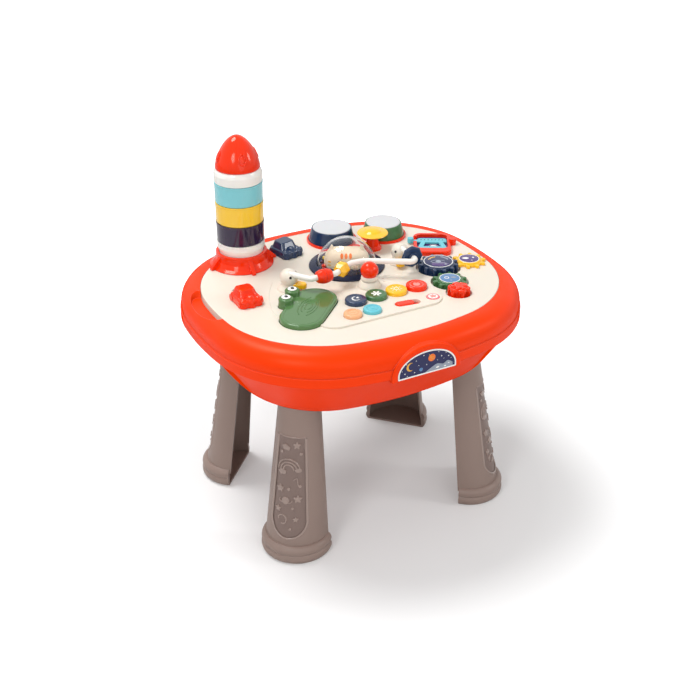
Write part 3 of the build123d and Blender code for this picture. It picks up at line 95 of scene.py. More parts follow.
# What the camera, glass and reflections see is white; what lights the pieces is dimmer
seen = worldRays.outputs["Is Camera Ray"]
for way in ("Is Transmission Ray", "Is Glossy Ray"):
    either = worldTree.nodes.new("ShaderNodeMath")
    either.operation = "MAXIMUM"
    worldTree.links.new(seen, either.inputs[0])
    worldTree.links.new(worldRays.outputs[way], either.inputs[1])
    seen = either.outputs[0]
strength = worldTree.nodes.new("ShaderNodeMix")
strength.inputs["A"].default_value = studio["worldLight"]
strength.inputs["B"].default_value = studio["worldSeen"]
worldTree.links.new(seen, strength.inputs["Factor"])
worldTree.links.new(strength.outputs["Result"], background.inputs["Strength"])
scene.view_settings.view_transform = "Standard"

# Nodes and groups shared by the materials


def newGroup(name, inputs, outputs):
    group = bpy.data.node_groups.new(name, "ShaderNodeTree")
    for label, kind, value in inputs:
        socket = group.interface.new_socket(label, in_out="INPUT", socket_type=kind)
        socket.default_value = value
    for label, kind in outputs:
        group.interface.new_socket(label, in_out="OUTPUT", socket_type=kind)
    return group, group.nodes.new("NodeGroupInput"), group.nodes.new("NodeGroupOutput")


def noiseNode(tree, vector, scale, detail, roughness=0.55):
    noise = tree.nodes.new("ShaderNodeTexNoise")
    noise.inputs["Detail"].default_value = detail
    noise.inputs["Roughness"].default_value = roughness
    tree.links.new(vector, noise.inputs["Vector"])
    if isinstance(scale, (int, float)):
        noise.inputs["Scale"].default_value = scale
    else:
        tree.links.new(scale, noise.inputs["Scale"])
    return noise.outputs["Fac"]


def mathNode(tree, operation, first, second=0.5, clamp=False):
    node = tree.nodes.new("ShaderNodeMath")
    node.operation = operation
    node.use_clamp = clamp
    for socket, value in zip(node.inputs, (first, second)):
        if isinstance(value, (int, float)):
            socket.default_value = value
        else:
            tree.links.new(value, socket)
    return node.outputs[0]


def rangeNode(tree, value, low, high, newLow, newHigh):
    node = tree.nodes.new("ShaderNodeMapRange")
    tree.links.new(value, node.inputs["Value"])
    for label, bound in (("From Min", low), ("From Max", high), ("To Min", newLow), ("To Max", newHigh)):
        if isinstance(bound, (int, float)):
            node.inputs[label].default_value = bound
        else:
            tree.links.new(bound, node.inputs[label])
    return node.outputs["Result"]


def mixNode(tree, share, first, second):
    # Sockets 6 and 7 are the two colours, output 2 the mixed one
    node = tree.nodes.new("ShaderNodeMix")
    node.data_type = "RGBA"
    tree.links.new(share, node.inputs["Factor"])
    for socket, colour in ((node.inputs[6], first), (node.inputs[7], second)):
        if isinstance(colour, tuple):
            socket.default_value = colour
        else:
            tree.links.new(colour, socket)
    return node.outputs[2]


def objectPoint(tree):
    return tree.nodes.new("ShaderNodeTexCoord").outputs["Object"]


def makeMouldedPlastic():
    # Slow colour drift of the pigment, cloudy gloss, and the fine grain of the mould
    group, given, result = newGroup(
        "mouldedPlastic",
        [("Colour", "NodeSocketColor", (0.8, 0.8, 0.8, 1)), ("Drift", "NodeSocketFloat", 0.06),
         ("Gloss Low", "NodeSocketFloat", 0.25), ("Gloss High", "NodeSocketFloat", 0.35),
         ("Grain Size", "NodeSocketFloat", 1400.0)],
        [("Colour", "NodeSocketColor"), ("Roughness", "NodeSocketFloat"), ("Height", "NodeSocketFloat")],
    )
    where = objectPoint(group)
    drift = rangeNode(group, noiseNode(group, where, 9.0, 3.0), 0.3, 0.7, -0.5, 0.5)
    value = mathNode(group, "ADD", mathNode(group, "MULTIPLY", drift, given.outputs["Drift"]), 1.0)
    shade = group.nodes.new("ShaderNodeHueSaturation")
    group.links.new(given.outputs["Colour"], shade.inputs["Color"])
    group.links.new(value, shade.inputs["Value"])
    group.links.new(shade.outputs["Color"], result.inputs["Colour"])
    clouds = noiseNode(group, where, 34.0, 4.0)
    gloss = rangeNode(group, clouds, 0.3, 0.7, given.outputs["Gloss Low"], given.outputs["Gloss High"])
    group.links.new(gloss, result.inputs["Roughness"])
    grain = noiseNode(group, where, given.outputs["Grain Size"], 2.0)
    waves = noiseNode(group, where, 60.0, 2.0)
    height = mathNode(group, "ADD", mathNode(group, "MULTIPLY", grain, 0.25), waves)
    group.links.new(height, result.inputs["Height"])
    return group


def makeBevelAndPaintedEdgeHighlight():
    # Bevelled normals round the sharp edges, and there a painted highlight lifts the colour towards white:
    # one minus the dot of both normals
    group, given, result = newGroup(
        "bevelAndPaintedEdgeHighlight",
        [("Width", "NodeSocketFloat", 0.0006), ("Colour", "NodeSocketColor", (0.8, 0.8, 0.8, 1)),
         ("Lift", "NodeSocketFloat", 0.25)],
        [("Colour", "NodeSocketColor"), ("Normal", "NodeSocketVector")],
    )
    bevel = group.nodes.new("ShaderNodeBevel")
    bevel.samples = 4
    group.links.new(given.outputs["Width"], bevel.inputs["Radius"])
    geometry = group.nodes.new("ShaderNodeNewGeometry")
    dot = group.nodes.new("ShaderNodeVectorMath")
    dot.operation = "DOT_PRODUCT"
    group.links.new(bevel.outputs["Normal"], dot.inputs[0])
    group.links.new(geometry.outputs["Normal"], dot.inputs[1])
    turn = mathNode(group, "SUBTRACT", 1.0, dot.outputs["Value"], clamp=True)
    sharp = rangeNode(group, turn, 0.02, 0.3, 0.0, 1.0)
    mask = mathNode(group, "MULTIPLY", sharp, given.outputs["Lift"], clamp=True)
    group.links.new(mixNode(group, mask, given.outputs["Colour"], (1, 1, 1, 1)), result.inputs["Colour"])
    group.links.new(bevel.outputs["Normal"], result.inputs["Normal"])
    return group


mouldedPlastic = makeMouldedPlastic()
bevelAndPaintedEdgeHighlight = makeBevelAndPaintedEdgeHighlight()


def newMaterial(name):
    material = bpy.data.materials.new(name)
    material.use_nodes = True
    return material, material.node_tree, material.node_tree.nodes["Principled BSDF"]


def plasticMaterial(name, colour, gloss=(0.22, 0.32), drift=0.04, grain=1400.0, depth=0.000015,
                    coat=0.0, edge=0.0005, edgeHighlightLift=0.1, subsurface=0.0, specular=0.3,
                    tint=(1, 1, 1), bounce=0.0, calm=False):
    # Grain over a rounded edge gives the bump; drift, then a painted highlight along sharp edges, give the
    # colour
    material, tree, shader = newMaterial(name)
    body = tree.nodes.new("ShaderNodeGroup")
    body.node_tree = mouldedPlastic
    body.inputs["Colour"].default_value = colour
    body.inputs["Drift"].default_value = drift
    body.inputs["Gloss Low"].default_value = gloss[0]
    body.inputs["Gloss High"].default_value = gloss[1]
    body.inputs["Grain Size"].default_value = grain
    # Painted highlight: this group lifts the colour towards white along sharp edges
    rim = tree.nodes.new("ShaderNodeGroup")
    rim.node_tree = bevelAndPaintedEdgeHighlight
    rim.inputs["Width"].default_value = edge
    rim.inputs["Lift"].default_value = edgeHighlightLift
    bump = tree.nodes.new("ShaderNodeBump")
    bump.inputs["Strength"].default_value = 0.6
    bump.inputs["Distance"].default_value = depth
    tree.links.new(body.outputs["Colour"], rim.inputs["Colour"])
    tree.links.new(rim.outputs["Colour"], shader.inputs["Base Color"])
    if bounce:
        # Light that leaves this surface for others carries less of its colour
        lightRays = tree.nodes.new("ShaderNodeLightPath")
        share = mathNode(tree, "MULTIPLY", lightRays.outputs["Is Diffuse Ray"], bounce)
        paler = mixNode(tree, share, rim.outputs["Colour"], (0.26, 0.25, 0.24, 1))
        tree.links.new(paler, shader.inputs["Base Color"])
    tree.links.new(body.outputs["Roughness"], shader.inputs["Roughness"])
    tree.links.new(body.outputs["Height"], bump.inputs["Height"])
    tree.links.new(rim.outputs["Normal"], bump.inputs["Normal"])
    tree.links.new(bump.outputs["Normal"], shader.inputs["Normal"])
    shader.inputs["Coat Weight"].default_value = coat
    shader.inputs["Coat Roughness"].default_value = 0.06
    shader.inputs["Specular IOR Level"].default_value = specular
    shader.inputs["Specular Tint"].default_value = (*tint, 1)
    if calm:
        # No pale veil where the surface is seen at a slant
        facing = tree.nodes.new("ShaderNodeLayerWeight").outputs["Facing"]
        shine = rangeNode(tree, facing, 0.4, 0.85, specular, 0.0)
        tree.links.new(shine, shader.inputs["Specular IOR Level"])
    if subsurface:
        shader.inputs["Subsurface Weight"].default_value = subsurface
        shader.inputs["Subsurface Scale"].default_value = 0.002
    return material


# Finishes: what a setting leaves out keeps the plain value above
finishes = {
    # The orange shell's edge settings make its painted edge highlight wider and brighter
    "orangeShell": {"colour": linear(248, 58, 2), "gloss": (0.34, 0.42), "specular": 0.3,
                    "tint": (1.0, 0.5, 0.3), "drift": 0.03, "bounce": 0.8, "calm": True,
                    "edge": 0.001, "edgeHighlightLift": 0.18},
    "creamPanel": {"colour": linear(228, 219, 205), "gloss": (0.3, 0.4), "subsurface": 0.05},
    "taupeLeg": {"colour": linear(146, 126, 117), "gloss": (0.34, 0.44), "depth": 0.00003, "grain": 900.0},
    # Lighter than taupeLeg: a painted highlight on the legs' raised border and reliefs
    "taupeGlossWithPaintedHighlight": {"colour": linear(154, 134, 125), "gloss": (0.14, 0.2), "depth": 0.00001, "coat": 0.5},
    "catCream": {"colour": linear(228, 208, 180), "gloss": (0.42, 0.52), "subsurface": 0.05},
    "navyPlastic": {"colour": linear(28, 50, 84), "gloss": (0.12, 0.2), "coat": 0.4},
    "domeNavy": {"colour": linear(22, 30, 58), "gloss": (0.2, 0.3), "specular": 0.2},
    "frogPlastic": {"colour": linear(80, 120, 68), "gloss": (0.1, 0.16), "coat": 0.4},
    "greenPlastic": {"colour": linear(66, 112, 66), "gloss": (0.14, 0.22), "coat": 0.3},
    "yellowPlastic": {"colour": linear(250, 190, 20), "gloss": (0.2, 0.3), "coat": 0.4},
    "peachPlastic": {"colour": linear(240, 176, 128), "gloss": (0.22, 0.32), "coat": 0.3},
    "bluePlastic": {"colour": linear(98, 192, 206), "gloss": (0.22, 0.32), "coat": 0.3},
    "redPlastic": {"colour": linear(240, 46, 0), "gloss": (0.12, 0.2), "coat": 0.3, "specular": 0.26,
                   "tint": (1.0, 0.6, 0.45)},
    "purpleCup": {"colour": linear(44, 28, 58), "gloss": (0.1, 0.18), "coat": 0.6},
    "yellowCup": {"colour": linear(250, 202, 52), "gloss": (0.12, 0.2), "coat": 0.6},
    "blueCup": {"colour": linear(126, 203, 212), "gloss": (0.12, 0.2), "coat": 0.6},
    "whiteCup": {"colour": linear(242, 238, 232), "gloss": (0.12, 0.2), "coat": 0.6, "subsurface": 0.08},
    "drumSkin": {"colour": linear(206, 206, 208), "gloss": (0.4, 0.5), "specular": 0.2, "subsurface": 0.1},
    "railWhite": {"colour": linear(240, 236, 228), "gloss": (0.16, 0.24), "coat": 0.12},
    "pinkLens": {"colour": linear(238, 120, 128), "gloss": (0.1, 0.16), "coat": 0.24, "subsurface": 0.3},
    "darkPlastic": {"colour": linear(32, 32, 38), "gloss": (0.3, 0.45)},
    "boardGreen": {"colour": linear(22, 86, 48), "gloss": (0.35, 0.5)},
    "matRubber": {"colour": linear(120, 122, 126), "gloss": (0.5, 0.65)},
    "whitePrint": {"colour": linear(246, 244, 240), "gloss": (0.24, 0.3), "depth": 0.00001},
    "pinkPrint": {"colour": linear(240, 150, 140), "gloss": (0.24, 0.3), "depth": 0.00001},
    "blackGloss": {"colour": linear(24, 22, 26), "gloss": (0.08, 0.14), "coat": 0.24},
}
inks = {
    "nightPrint": (36, 40, 84), "violetPrint": (84, 60, 118), "skyPrint": (88, 130, 176),
    "greyPrint": (150, 158, 172), "orangePrint": (244, 120, 40), "goldPrint": (236, 176, 70),
}
for name, ink in inks.items():
    finishes[name] = {"colour": linear(*ink), "gloss": (0.16, 0.24), "coat": 0.16, "depth": 0.00001}
materials = {name: plasticMaterial(name, **settings) for name, settings in finishes.items()}


def makeMetal():
    # Plain steel: fine noise drives both the grey and the gloss
    material, tree, shader = newMaterial("plainSteel")
    speckle = noiseNode(tree, objectPoint(tree), 700.0, 3.0)
    tree.links.new(rangeNode(tree, speckle, 0.3, 0.7, 0.25, 0.4), shader.inputs["Roughness"])
    ramp = tree.nodes.new("ShaderNodeValToRGB")
    ramp.color_ramp.elements[0].color = linear(120, 122, 126)
    ramp.color_ramp.elements[1].color = linear(176, 178, 182)
    tree.links.new(speckle, ramp.inputs["Fac"])
    tree.links.new(ramp.outputs["Color"], shader.inputs["Base Color"])
    shader.inputs["Metallic"].default_value = 1.0
    return material


def makeClear():
    # Clear moulded dome: glass-like shell with faint cloudy gloss
    material, tree, shader = newMaterial("clearDome")
    haze = noiseNode(tree, objectPoint(tree), 40.0, 3.0)
    tree.links.new(rangeNode(tree, haze, 0.3, 0.7, 0.01, 0.05), shader.inputs["Roughness"])
    shader.inputs["Base Color"].default_value = (0.97, 0.98, 0.99, 1)
    shader.inputs["Transmission Weight"].default_value = 1.0
    shader.inputs["IOR"].default_value = 1.3
    return material


def bodyOf(tree):
    # The group node that gives a moulded plastic its colour and gloss
    return next(node for node in tree.nodes if node.type == "GROUP" and node.node_tree == mouldedPlastic)


def makeBeads():
    # Loose beads of several colours: the colour steps with their place across the dome
    material = plasticMaterial("beadColours", linear(220, 60, 40), gloss=(0.12, 0.2), coat=0.3)
    tree = material.node_tree
    parted = tree.nodes.new("ShaderNodeSeparateXYZ")
    tree.links.new(objectPoint(tree), parted.inputs["Vector"])
    key = mathNode(tree, "ADD", parted.outputs["X"], mathNode(tree, "MULTIPLY", parted.outputs["Y"], 0.6))
    ramp = tree.nodes.new("ShaderNodeValToRGB")
    ramp.color_ramp.interpolation = "CONSTANT"
    steps = {0.0: (226, 50, 20), 0.22: (240, 190, 30), 0.46: (70, 120, 200), 0.66: (50, 150, 80)}
    for number, (at, screen) in enumerate(steps.items()):
        element = ramp.color_ramp.elements[number] if number < 2 else ramp.color_ramp.elements.new(at)
        element.position, element.color = at, linear(*screen)
    tree.links.new(rangeNode(tree, key, 0.0, 0.1, 0.0, 1.0), ramp.inputs["Fac"])
    tree.links.new(ramp.outputs["Color"], bodyOf(tree).inputs["Colour"])
    return material


# Legs, in millimetres: the face is part of a leaning cone that gets thinner upwards
leg = {"reach": (136.1, 100.1), "turn": 43.2, "low": 43.5, "lowAt": 20.0, "fall": 16.5 / 216,
       "centre": 6.0, "lean": 0.1, "sunk": 1.2}
# Their window, in metres: a half circle at the foot, and sides that draw in to its flat top; its colour is
# painted shade for the recess
window = {"round": 0.0604, "top": 0.180, "halfLow": 0.0247, "halfHigh": 0.0182,
          "colour": linear(128, 109, 102)}


def makeLegWithPaintedWindowShade():
    # The taupe of the legs, with painted shade inside the long recessed window of the outer face
    material = plasticMaterial("legWithPaintedWindowShade", **finishes["taupeLeg"])
    tree = material.node_tree
    parted = tree.nodes.new("ShaderNodeSeparateXYZ")
    tree.links.new(objectPoint(tree), parted.inputs["Vector"])
    # All four legs are one leg mirrored, so the sizes of x and y do for each
    turn = math.radians(leg["turn"])
    sizes = [mathNode(tree, "ABSOLUTE", parted.outputs[axis]) for axis in "XY"]
    across, along = (mathNode(tree, "SUBTRACT", size, reach / 1000)
                     for size, reach in zip(sizes, leg["reach"]))
    aside = mathNode(tree, "SUBTRACT", mathNode(tree, "MULTIPLY", across, math.sin(turn)),
                     mathNode(tree, "MULTIPLY", along, math.cos(turn)))
    under = mathNode(tree, "MAXIMUM", mathNode(tree, "SUBTRACT", window["round"], parted.outputs["Z"]), 0.0)
    reach = mathNode(tree, "SQRT", mathNode(tree, "ADD", mathNode(tree, "MULTIPLY", aside, aside),
                                            mathNode(tree, "MULTIPLY", under, under)))
    half = rangeNode(tree, parted.outputs["Z"], window["round"], window["top"],
                     window["halfLow"], window["halfHigh"])
    inside = mathNode(tree, "MULTIPLY", mathNode(tree, "LESS_THAN", reach, half),
                      mathNode(tree, "LESS_THAN", parted.outputs["Z"], window["top"]))
    # Painted shade: inside the window the taupe turns darker
    shade = mixNode(tree, inside, finishes["taupeLeg"]["colour"], window["colour"])
    tree.links.new(shade, bodyOf(tree).inputs["Colour"])
    return material


materials["legWithPaintedWindowShade"] = makeLegWithPaintedWindowShade()
materials["plainSteel"] = makeMetal()
materials["beadColours"] = makeBeads()
materials["clearDome"] = makeClear()

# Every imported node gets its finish
nodeFinish = {
    "orangeShell": ["lower_bowl", "upper_rim"],
    "legWithPaintedWindowShade": ["leg_front_left", "leg_front_right", "leg_back_left", "leg_back_right"],
    "creamPanel": ["play_panel", "panel_underside", "battery_door", "rail_ducks", "joystick_boot"],
    "catCream": ["cat_figure"],
    "domeNavy": ["dome_base"],
    "navyPlastic": ["drum_shell_left", "bead_navy", "button_navy", "gear_navy", "car_navy"],
    "frogPlastic": ["frog_key"],
    "greenPlastic": ["drum_shell_right", "button_green", "gear_green"],
    "yellowPlastic": ["cymbal", "bead_yellow", "button_yellow", "gear_yellow", "duck_beaks"],
    "redPlastic": ["rocket_base", "nose_cone", "bead_orange", "joystick", "button_red", "gear_flower",
                   "car_orange", "power_switch", "drum_bezel", "slider_frame"],
    "beadColours": ["dome_beads"],
    "peachPlastic": ["button_peach"],
    "bluePlastic": ["button_blue", "slider_shutter"],
    "purpleCup": ["cup_purple"],
    "yellowCup": ["cup_yellow"],
    "blueCup": ["cup_blue"],
    "whiteCup": ["cup_white_lower", "cup_white_upper"],
    "drumSkin": ["drum_head_left", "drum_head_right"],
    "railWhite": ["bead_rail"],
    "pinkLens": ["star_lens"],
    "darkPlastic": ["loudspeaker", "joystick_gimbal"],
    "boardGreen": ["circuit_board"],
    "matRubber": ["key_mat"],
    "plainSteel": ["batteries", "housing_screws"],
    "clearDome": ["clear_dome"],
    "nightPrint": ["front_plate"],
    "violetPrint": ["picture_card"],
    "whitePrint": ["frog_eyes"],
}
for finish, names in nodeFinish.items():
    for name in names:
        node = nodes[name]
        node.data.materials.clear()
        node.data.materials.append(materials[finish])
undressed = set(nodes) - {name for names in nodeFinish.values() for name in names}
print("nodes dressed; left over:", sorted(undressed))

# Surfaces from arrays, in millimetres


def ringFaces(rows, columns, loop):
    # Quads between neighbouring rows; the columns always close on themselves
    row = np.arange(rows if loop else rows - 1)[:, None]
    column = np.arange(columns)[None, :]
    after = (column + 1) % columns
    above = (row + 1) % rows
    quads = np.stack([row * columns + column, row * columns + after,
                      above * columns + after, above * columns + column], -1)
    return quads.reshape(-1, 4)


def addPiece(name, shells, place, finish, body, sharp=0.7):
    # Each shell is a grid (rows, columns, 3); a pole closes both ends unless it is a loop
    vertices, faces, start = [], [], 0
    for grid, loop in shells:
        rows, columns = grid.shape[:2]
        points = grid.reshape(-1, 3)
        faces += (ringFaces(rows, columns, loop) + start).tolist()
        if not loop:
            count = len(points)
            points = np.concatenate([points, grid[:1].mean(1), grid[-1:].mean(1)])
            column = np.arange(columns)
            after = (column + 1) % columns
            last = count - columns
            firstFan = np.stack([after, column, np.full(columns, count)], 1)
            lastFan = np.stack([last + column, last + after, np.full(columns, count + 1)], 1)
            faces += (firstFan + start).tolist() + (lastFan + start).tolist()
        vertices.append(place(points) / 1000)
        start += len(points)
    mesh = bpy.data.meshes.new(name)
    mesh.from_pydata(np.concatenate(vertices).tolist(), [], faces)
    work = bmesh.new()
    work.from_mesh(mesh)
    bmesh.ops.recalc_face_normals(work, faces=work.faces)
    work.to_mesh(mesh)
    work.free()
    mesh.polygons.foreach_set("use_smooth", np.ones(len(mesh.polygons), dtype=bool))
    mesh.set_sharp_from_angle(angle=sharp)
    mesh.materials.append(materials[finish])
    piece = bpy.data.objects.new(name, mesh)
    scene.collection.objects.link(piece)
    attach(piece, body)
    return piece


def polar(radius, count=64, squash=1.0, turn=0.0, at=(0, 0)):
    # Closed outline: the radius times cosine and sine, squashed along, then turned and moved
    angle = np.linspace(0, tau, count, endpoint=False)
    reach = radius(angle) if callable(radius) else np.full(count, float(radius))
    across, along = reach * np.cos(angle), reach * np.sin(angle) * squash
    c, s = math.cos(turn), math.sin(turn)
    return np.stack([across * c - along * s + at[0], across * s + along * c + at[1]], 1)


def starOutline(radius, points=5, depth=0.5, turn=math.pi / 2, at=(0, 0)):
    # The radius falls from each tip to the hollow beside it, nearly in a straight line
    def reach(angle):
        swing = np.abs(np.mod(angle * points / tau + 0.5, 1) - 0.5) * 2
        return radius * (1 - depth * swing ** 0.9)
    return polar(reach, 20 * points, turn=turn, at=at)


def cloudOutline(radius, at=(0, 0), turn=0.0, squash=0.62):
    # Five bulges round an ellipse: the radius swells with the size of a cosine
    return polar(lambda angle: radius * (0.86 + 0.14 * np.abs(np.cos(2.5 * angle))), 80, squash, turn, at)


def slab(outline, low, high, bevel=0.3):
    # A raised patch: upright side, a quarter-round edge that shrinks the outline, and a flat top
    middle = outline.mean(0)
    away = outline - middle
    length = np.linalg.norm(away, axis=1, keepdims=True)
    bevel = min(bevel, high - low)
    rows = [(outline, low)]
    for turn in np.linspace(0, math.pi / 2, 4):
        shrink = 1 - bevel * (1 - math.cos(turn)) / np.maximum(length, 2 * bevel)
        rows.append((middle + away * shrink, high - bevel * (1 - math.sin(turn))))
    grid = np.stack([np.concatenate([flat, np.full((len(flat), 1), height)], 1) for flat, height in rows])
    return grid, False


def stroke(path, width, low, high, loop=False):
    # A raised line: about half an ellipse carried along a flat path; width may change along it
    path = np.asarray(path, dtype=float)
    if loop:
        ahead = np.roll(path, -1, 0) - np.roll(path, 1, 0)
    else:
        ahead = np.gradient(path, axis=0)
    ahead /= np.linalg.norm(ahead, axis=1, keepdims=True)
    side = np.stack([-ahead[:, 1], ahead[:, 0]], 1)
    half = np.broadcast_to(np.asarray(width, dtype=float) / 2, (len(path),))[:, None]
    turn = np.linspace(0, math.pi, 9)[None, :]
    across = half * np.cos(turn)
    rise = np.broadcast_to(low + (high - low) * np.sin(turn) ** 0.8, across.shape)
    flat = path[:, None, :] + side[:, None, :] * across[:, :, None]
    return np.concatenate([flat, rise[:, :, None]], 2), loop


def arcPath(radius, start, end, at=(0, 0), count=32, squash=1.0):
    # Part of a circle between two angles in degrees, squashed to an ellipse
    angle = np.radians(np.linspace(start, end, count))
    return np.stack([at[0] + radius * np.cos(angle), at[1] + radius * squash * np.sin(angle)], 1)


def smoothPath(points, count):
    # A cubic from point to point that heads, at each, along the line between its neighbours
    points = np.asarray(points, dtype=float)
    points = np.concatenate([2 * points[:1] - points[1:2], points, 2 * points[-1:] - points[-2:-1]])
    runs = len(points) - 3
    where = np.linspace(0, runs, count)
    run = np.minimum(where.astype(int), runs - 1)
    t = (where - run)[:, None]
    a, b, c, d = (points[run + step] for step in range(4))
    bend = 2 * a - 5 * b + 4 * c - d
    twist = 3 * b - a - 3 * c + d
    return 0.5 * (2 * b + (c - a) * t + bend * t ** 2 + twist * t ** 3)


def swelling(ends, more, count, power=1.0):
    # A width that swells from both ends to the middle, as a power of a half sine
    return ends + more * np.sin(np.linspace(0, math.pi, count)) ** power


def ball(centre, radii, rows=16, columns=28):
    # An ellipsoid: sines and cosines of two angles times three radii; end fans close the poles
    polarAngle = np.linspace(0.12, math.pi - 0.12, rows)[:, None]
    around = np.linspace(0, tau, columns, endpoint=False)[None, :]
    grid = np.stack([np.sin(polarAngle) * np.cos(around), np.sin(polarAngle) * np.sin(around),
                     np.cos(polarAngle) * np.ones_like(around)], -1)
    return grid * np.asarray(radii) + np.asarray(centre), False


def lathe(profile, at, columns=96):
    # A profile of radius and height, turned once round an upright line
    around = np.linspace(0, tau, columns, endpoint=False)[None, :]
    radius, height = np.asarray(profile)[:, :1], np.asarray(profile)[:, 1:]
    return np.stack([at[0] + radius * np.cos(around), at[1] + radius * np.sin(around),
                     height * np.ones_like(around)], -1), False


def onLevel(at, height, turn=0.0):
    # Places flat shapes on a level: first axis along the heading, third upwards
    c, s = math.cos(math.radians(turn)), math.sin(math.radians(turn))
    return lambda p: np.stack([at[0] + p[:, 0] * c - p[:, 1] * s, at[1] + p[:, 0] * s + p[:, 1] * c,
                               height + p[:, 2]], 1)


def inSpace(p):
    # For shapes that are made in place
    return p


# Front plate: a white border and a night landscape of its own
plate = {"half": 42.9, "foot": 281.2, "spring": 286.5, "top": 314.4, "face": -202.2}


def onPlate(p):
    # Across, up, and the lift towards the front
    return np.stack([p[:, 0], plate["face"] - p[:, 2], p[:, 1]], 1)


def plateOutline(inset):
    # Flat foot, short upright sides, half an ellipse on top
    half, foot = plate["half"] - inset, plate["foot"] + inset
    angle = np.linspace(0, math.pi, 60)
    rise = plate["top"] - inset - plate["spring"]
    arch = np.stack([half * np.cos(angle), plate["spring"] + rise * np.sin(angle)], 1)
    base = np.linspace([-half, foot], [half, foot], 40)
    left = np.linspace([-half, plate["spring"]], [-half, foot], 8)[1:-1]
    right = np.linspace([half, foot], [half, plate["spring"]], 8)[1:-1]
    return np.concatenate([arch, left, base, right])


addPiece("plateBorder", [stroke(plateOutline(1.1), 2.1, -0.05, 0.28, True)], onPlate,
         "whitePrint", "table")
hillRidge = smoothPath([(-6, 282.4), (4, 287.5), (14, 291.8), (23, 289.6), (30, 292.6), (37.2, 288.6)], 40)
hillFoot = np.linspace([37.6, 282.5], [-6, 282.2], 30)
addPiece("plateHills", [slab(np.concatenate([hillRidge, hillFoot]), -0.05, 0.12, 0.05)], onPlate,
         "greyPrint", "table")
addPiece("plateCraters", [slab(polar(2.6, 32, 0.45, 0.1, (15, 286.6)), 0, 0.18, 0.05),
                          slab(polar(1.7, 28, 0.45, 0, (26, 285.6)), 0, 0.18, 0.05),
                          slab(polar(1.2, 24, 0.5, 0, (31.5, 288.6)), 0, 0.18, 0.05)],
         onPlate, "whitePrint", "table")
moonPath = arcPath(5.4, 70, 290, (-24, 297), 40)
moonWidth = swelling(0.3, 3.0, 40, 1.2)
addPiece("plateMoon", [stroke(moonPath, moonWidth, -0.03, 0.16)], onPlate, "goldPrint", "table")
addPiece("platePlanet", [slab(polar(5.2, 48, 1, 0, (6, 302.6)), -0.05, 0.14, 0.05)], onPlate,
         "orangePrint", "table")
addPiece("plateBands", [stroke(arcPath(9, 214, 262, (10.6, 309.6), 16), 0.9, 0.05, 0.2),
                        stroke(arcPath(9, 205, 262, (10.2, 312.2), 16), 0.7, 0.05, 0.2)],
         onPlate, "goldPrint", "table")
addPiece("plateDistantPlanet", [slab(polar(2.6, 36, 1, 0, (-9.5, 289.5)), -0.05, 0.14, 0.05)], onPlate,
         "skyPrint", "table")
plateStars = [  # across, up, size
    (-33, 289, 0.9), (-29.5, 285, 0.6), (-37, 293.5, 0.5), (-17, 303.5, 0.7), (-13, 296, 0.55),
    (-6, 308.6, 0.8), (-19, 287.6, 0.75), (-1.5, 294.5, 0.6), (16, 308.4, 0.6), (20.5, 301.5, 0.9),
    (27, 304.5, 0.55), (31, 299, 0.8), (34.6, 295, 0.5), (14.5, 297, 0.5), (-31, 302, 0.6), (24, 297, 0.45),
]
addPiece("plateStars", [slab(starOutline(size * 1.35, 4, 0.62, at=(across, up)), -0.05, 0.15, 0.05)
                        for across, up, size in plateStars], onPlate, "whitePrint", "table")
print("plate dressed")

# Legs: a raised border round the window, and soft reliefs inside it
border = {"halfHigh": 18.9, "halfLow": 25.4, "round": 60.4, "top": 180.0, "width": 3.2}
legSides = {"FrontLeft": (-1, -1), "FrontRight": (1, -1), "BackLeft": (-1, 1), "BackRight": (1, 1)}


def onLeg(sideX, sideY, lift):
    # u runs across the outer face, v is the height, h stands off the cone
    turn = math.radians(leg["turn"])
    outward = np.array([sideX * math.cos(turn), sideY * math.sin(turn)])
    across = np.array([outward[1], -outward[0]])
    origin = np.array([sideX * leg["reach"][0], sideY * leg["reach"][1]])

    def place(p):
        radius = leg["low"] - (p[:, 1] - leg["lowAt"]) * leg["fall"]
        angle = np.arcsin(np.clip(p[:, 0] / radius, -1, 1))
        reach = radius + lift + p[:, 2]
        forth = leg["centre"] - leg["lean"] * p[:, 1] + reach * np.cos(angle)
        flat = origin + np.outer(forth, outward) + np.outer(reach * np.sin(angle), across)
        return np.concatenate([flat, p[:, 1:2]], 1)
    return place


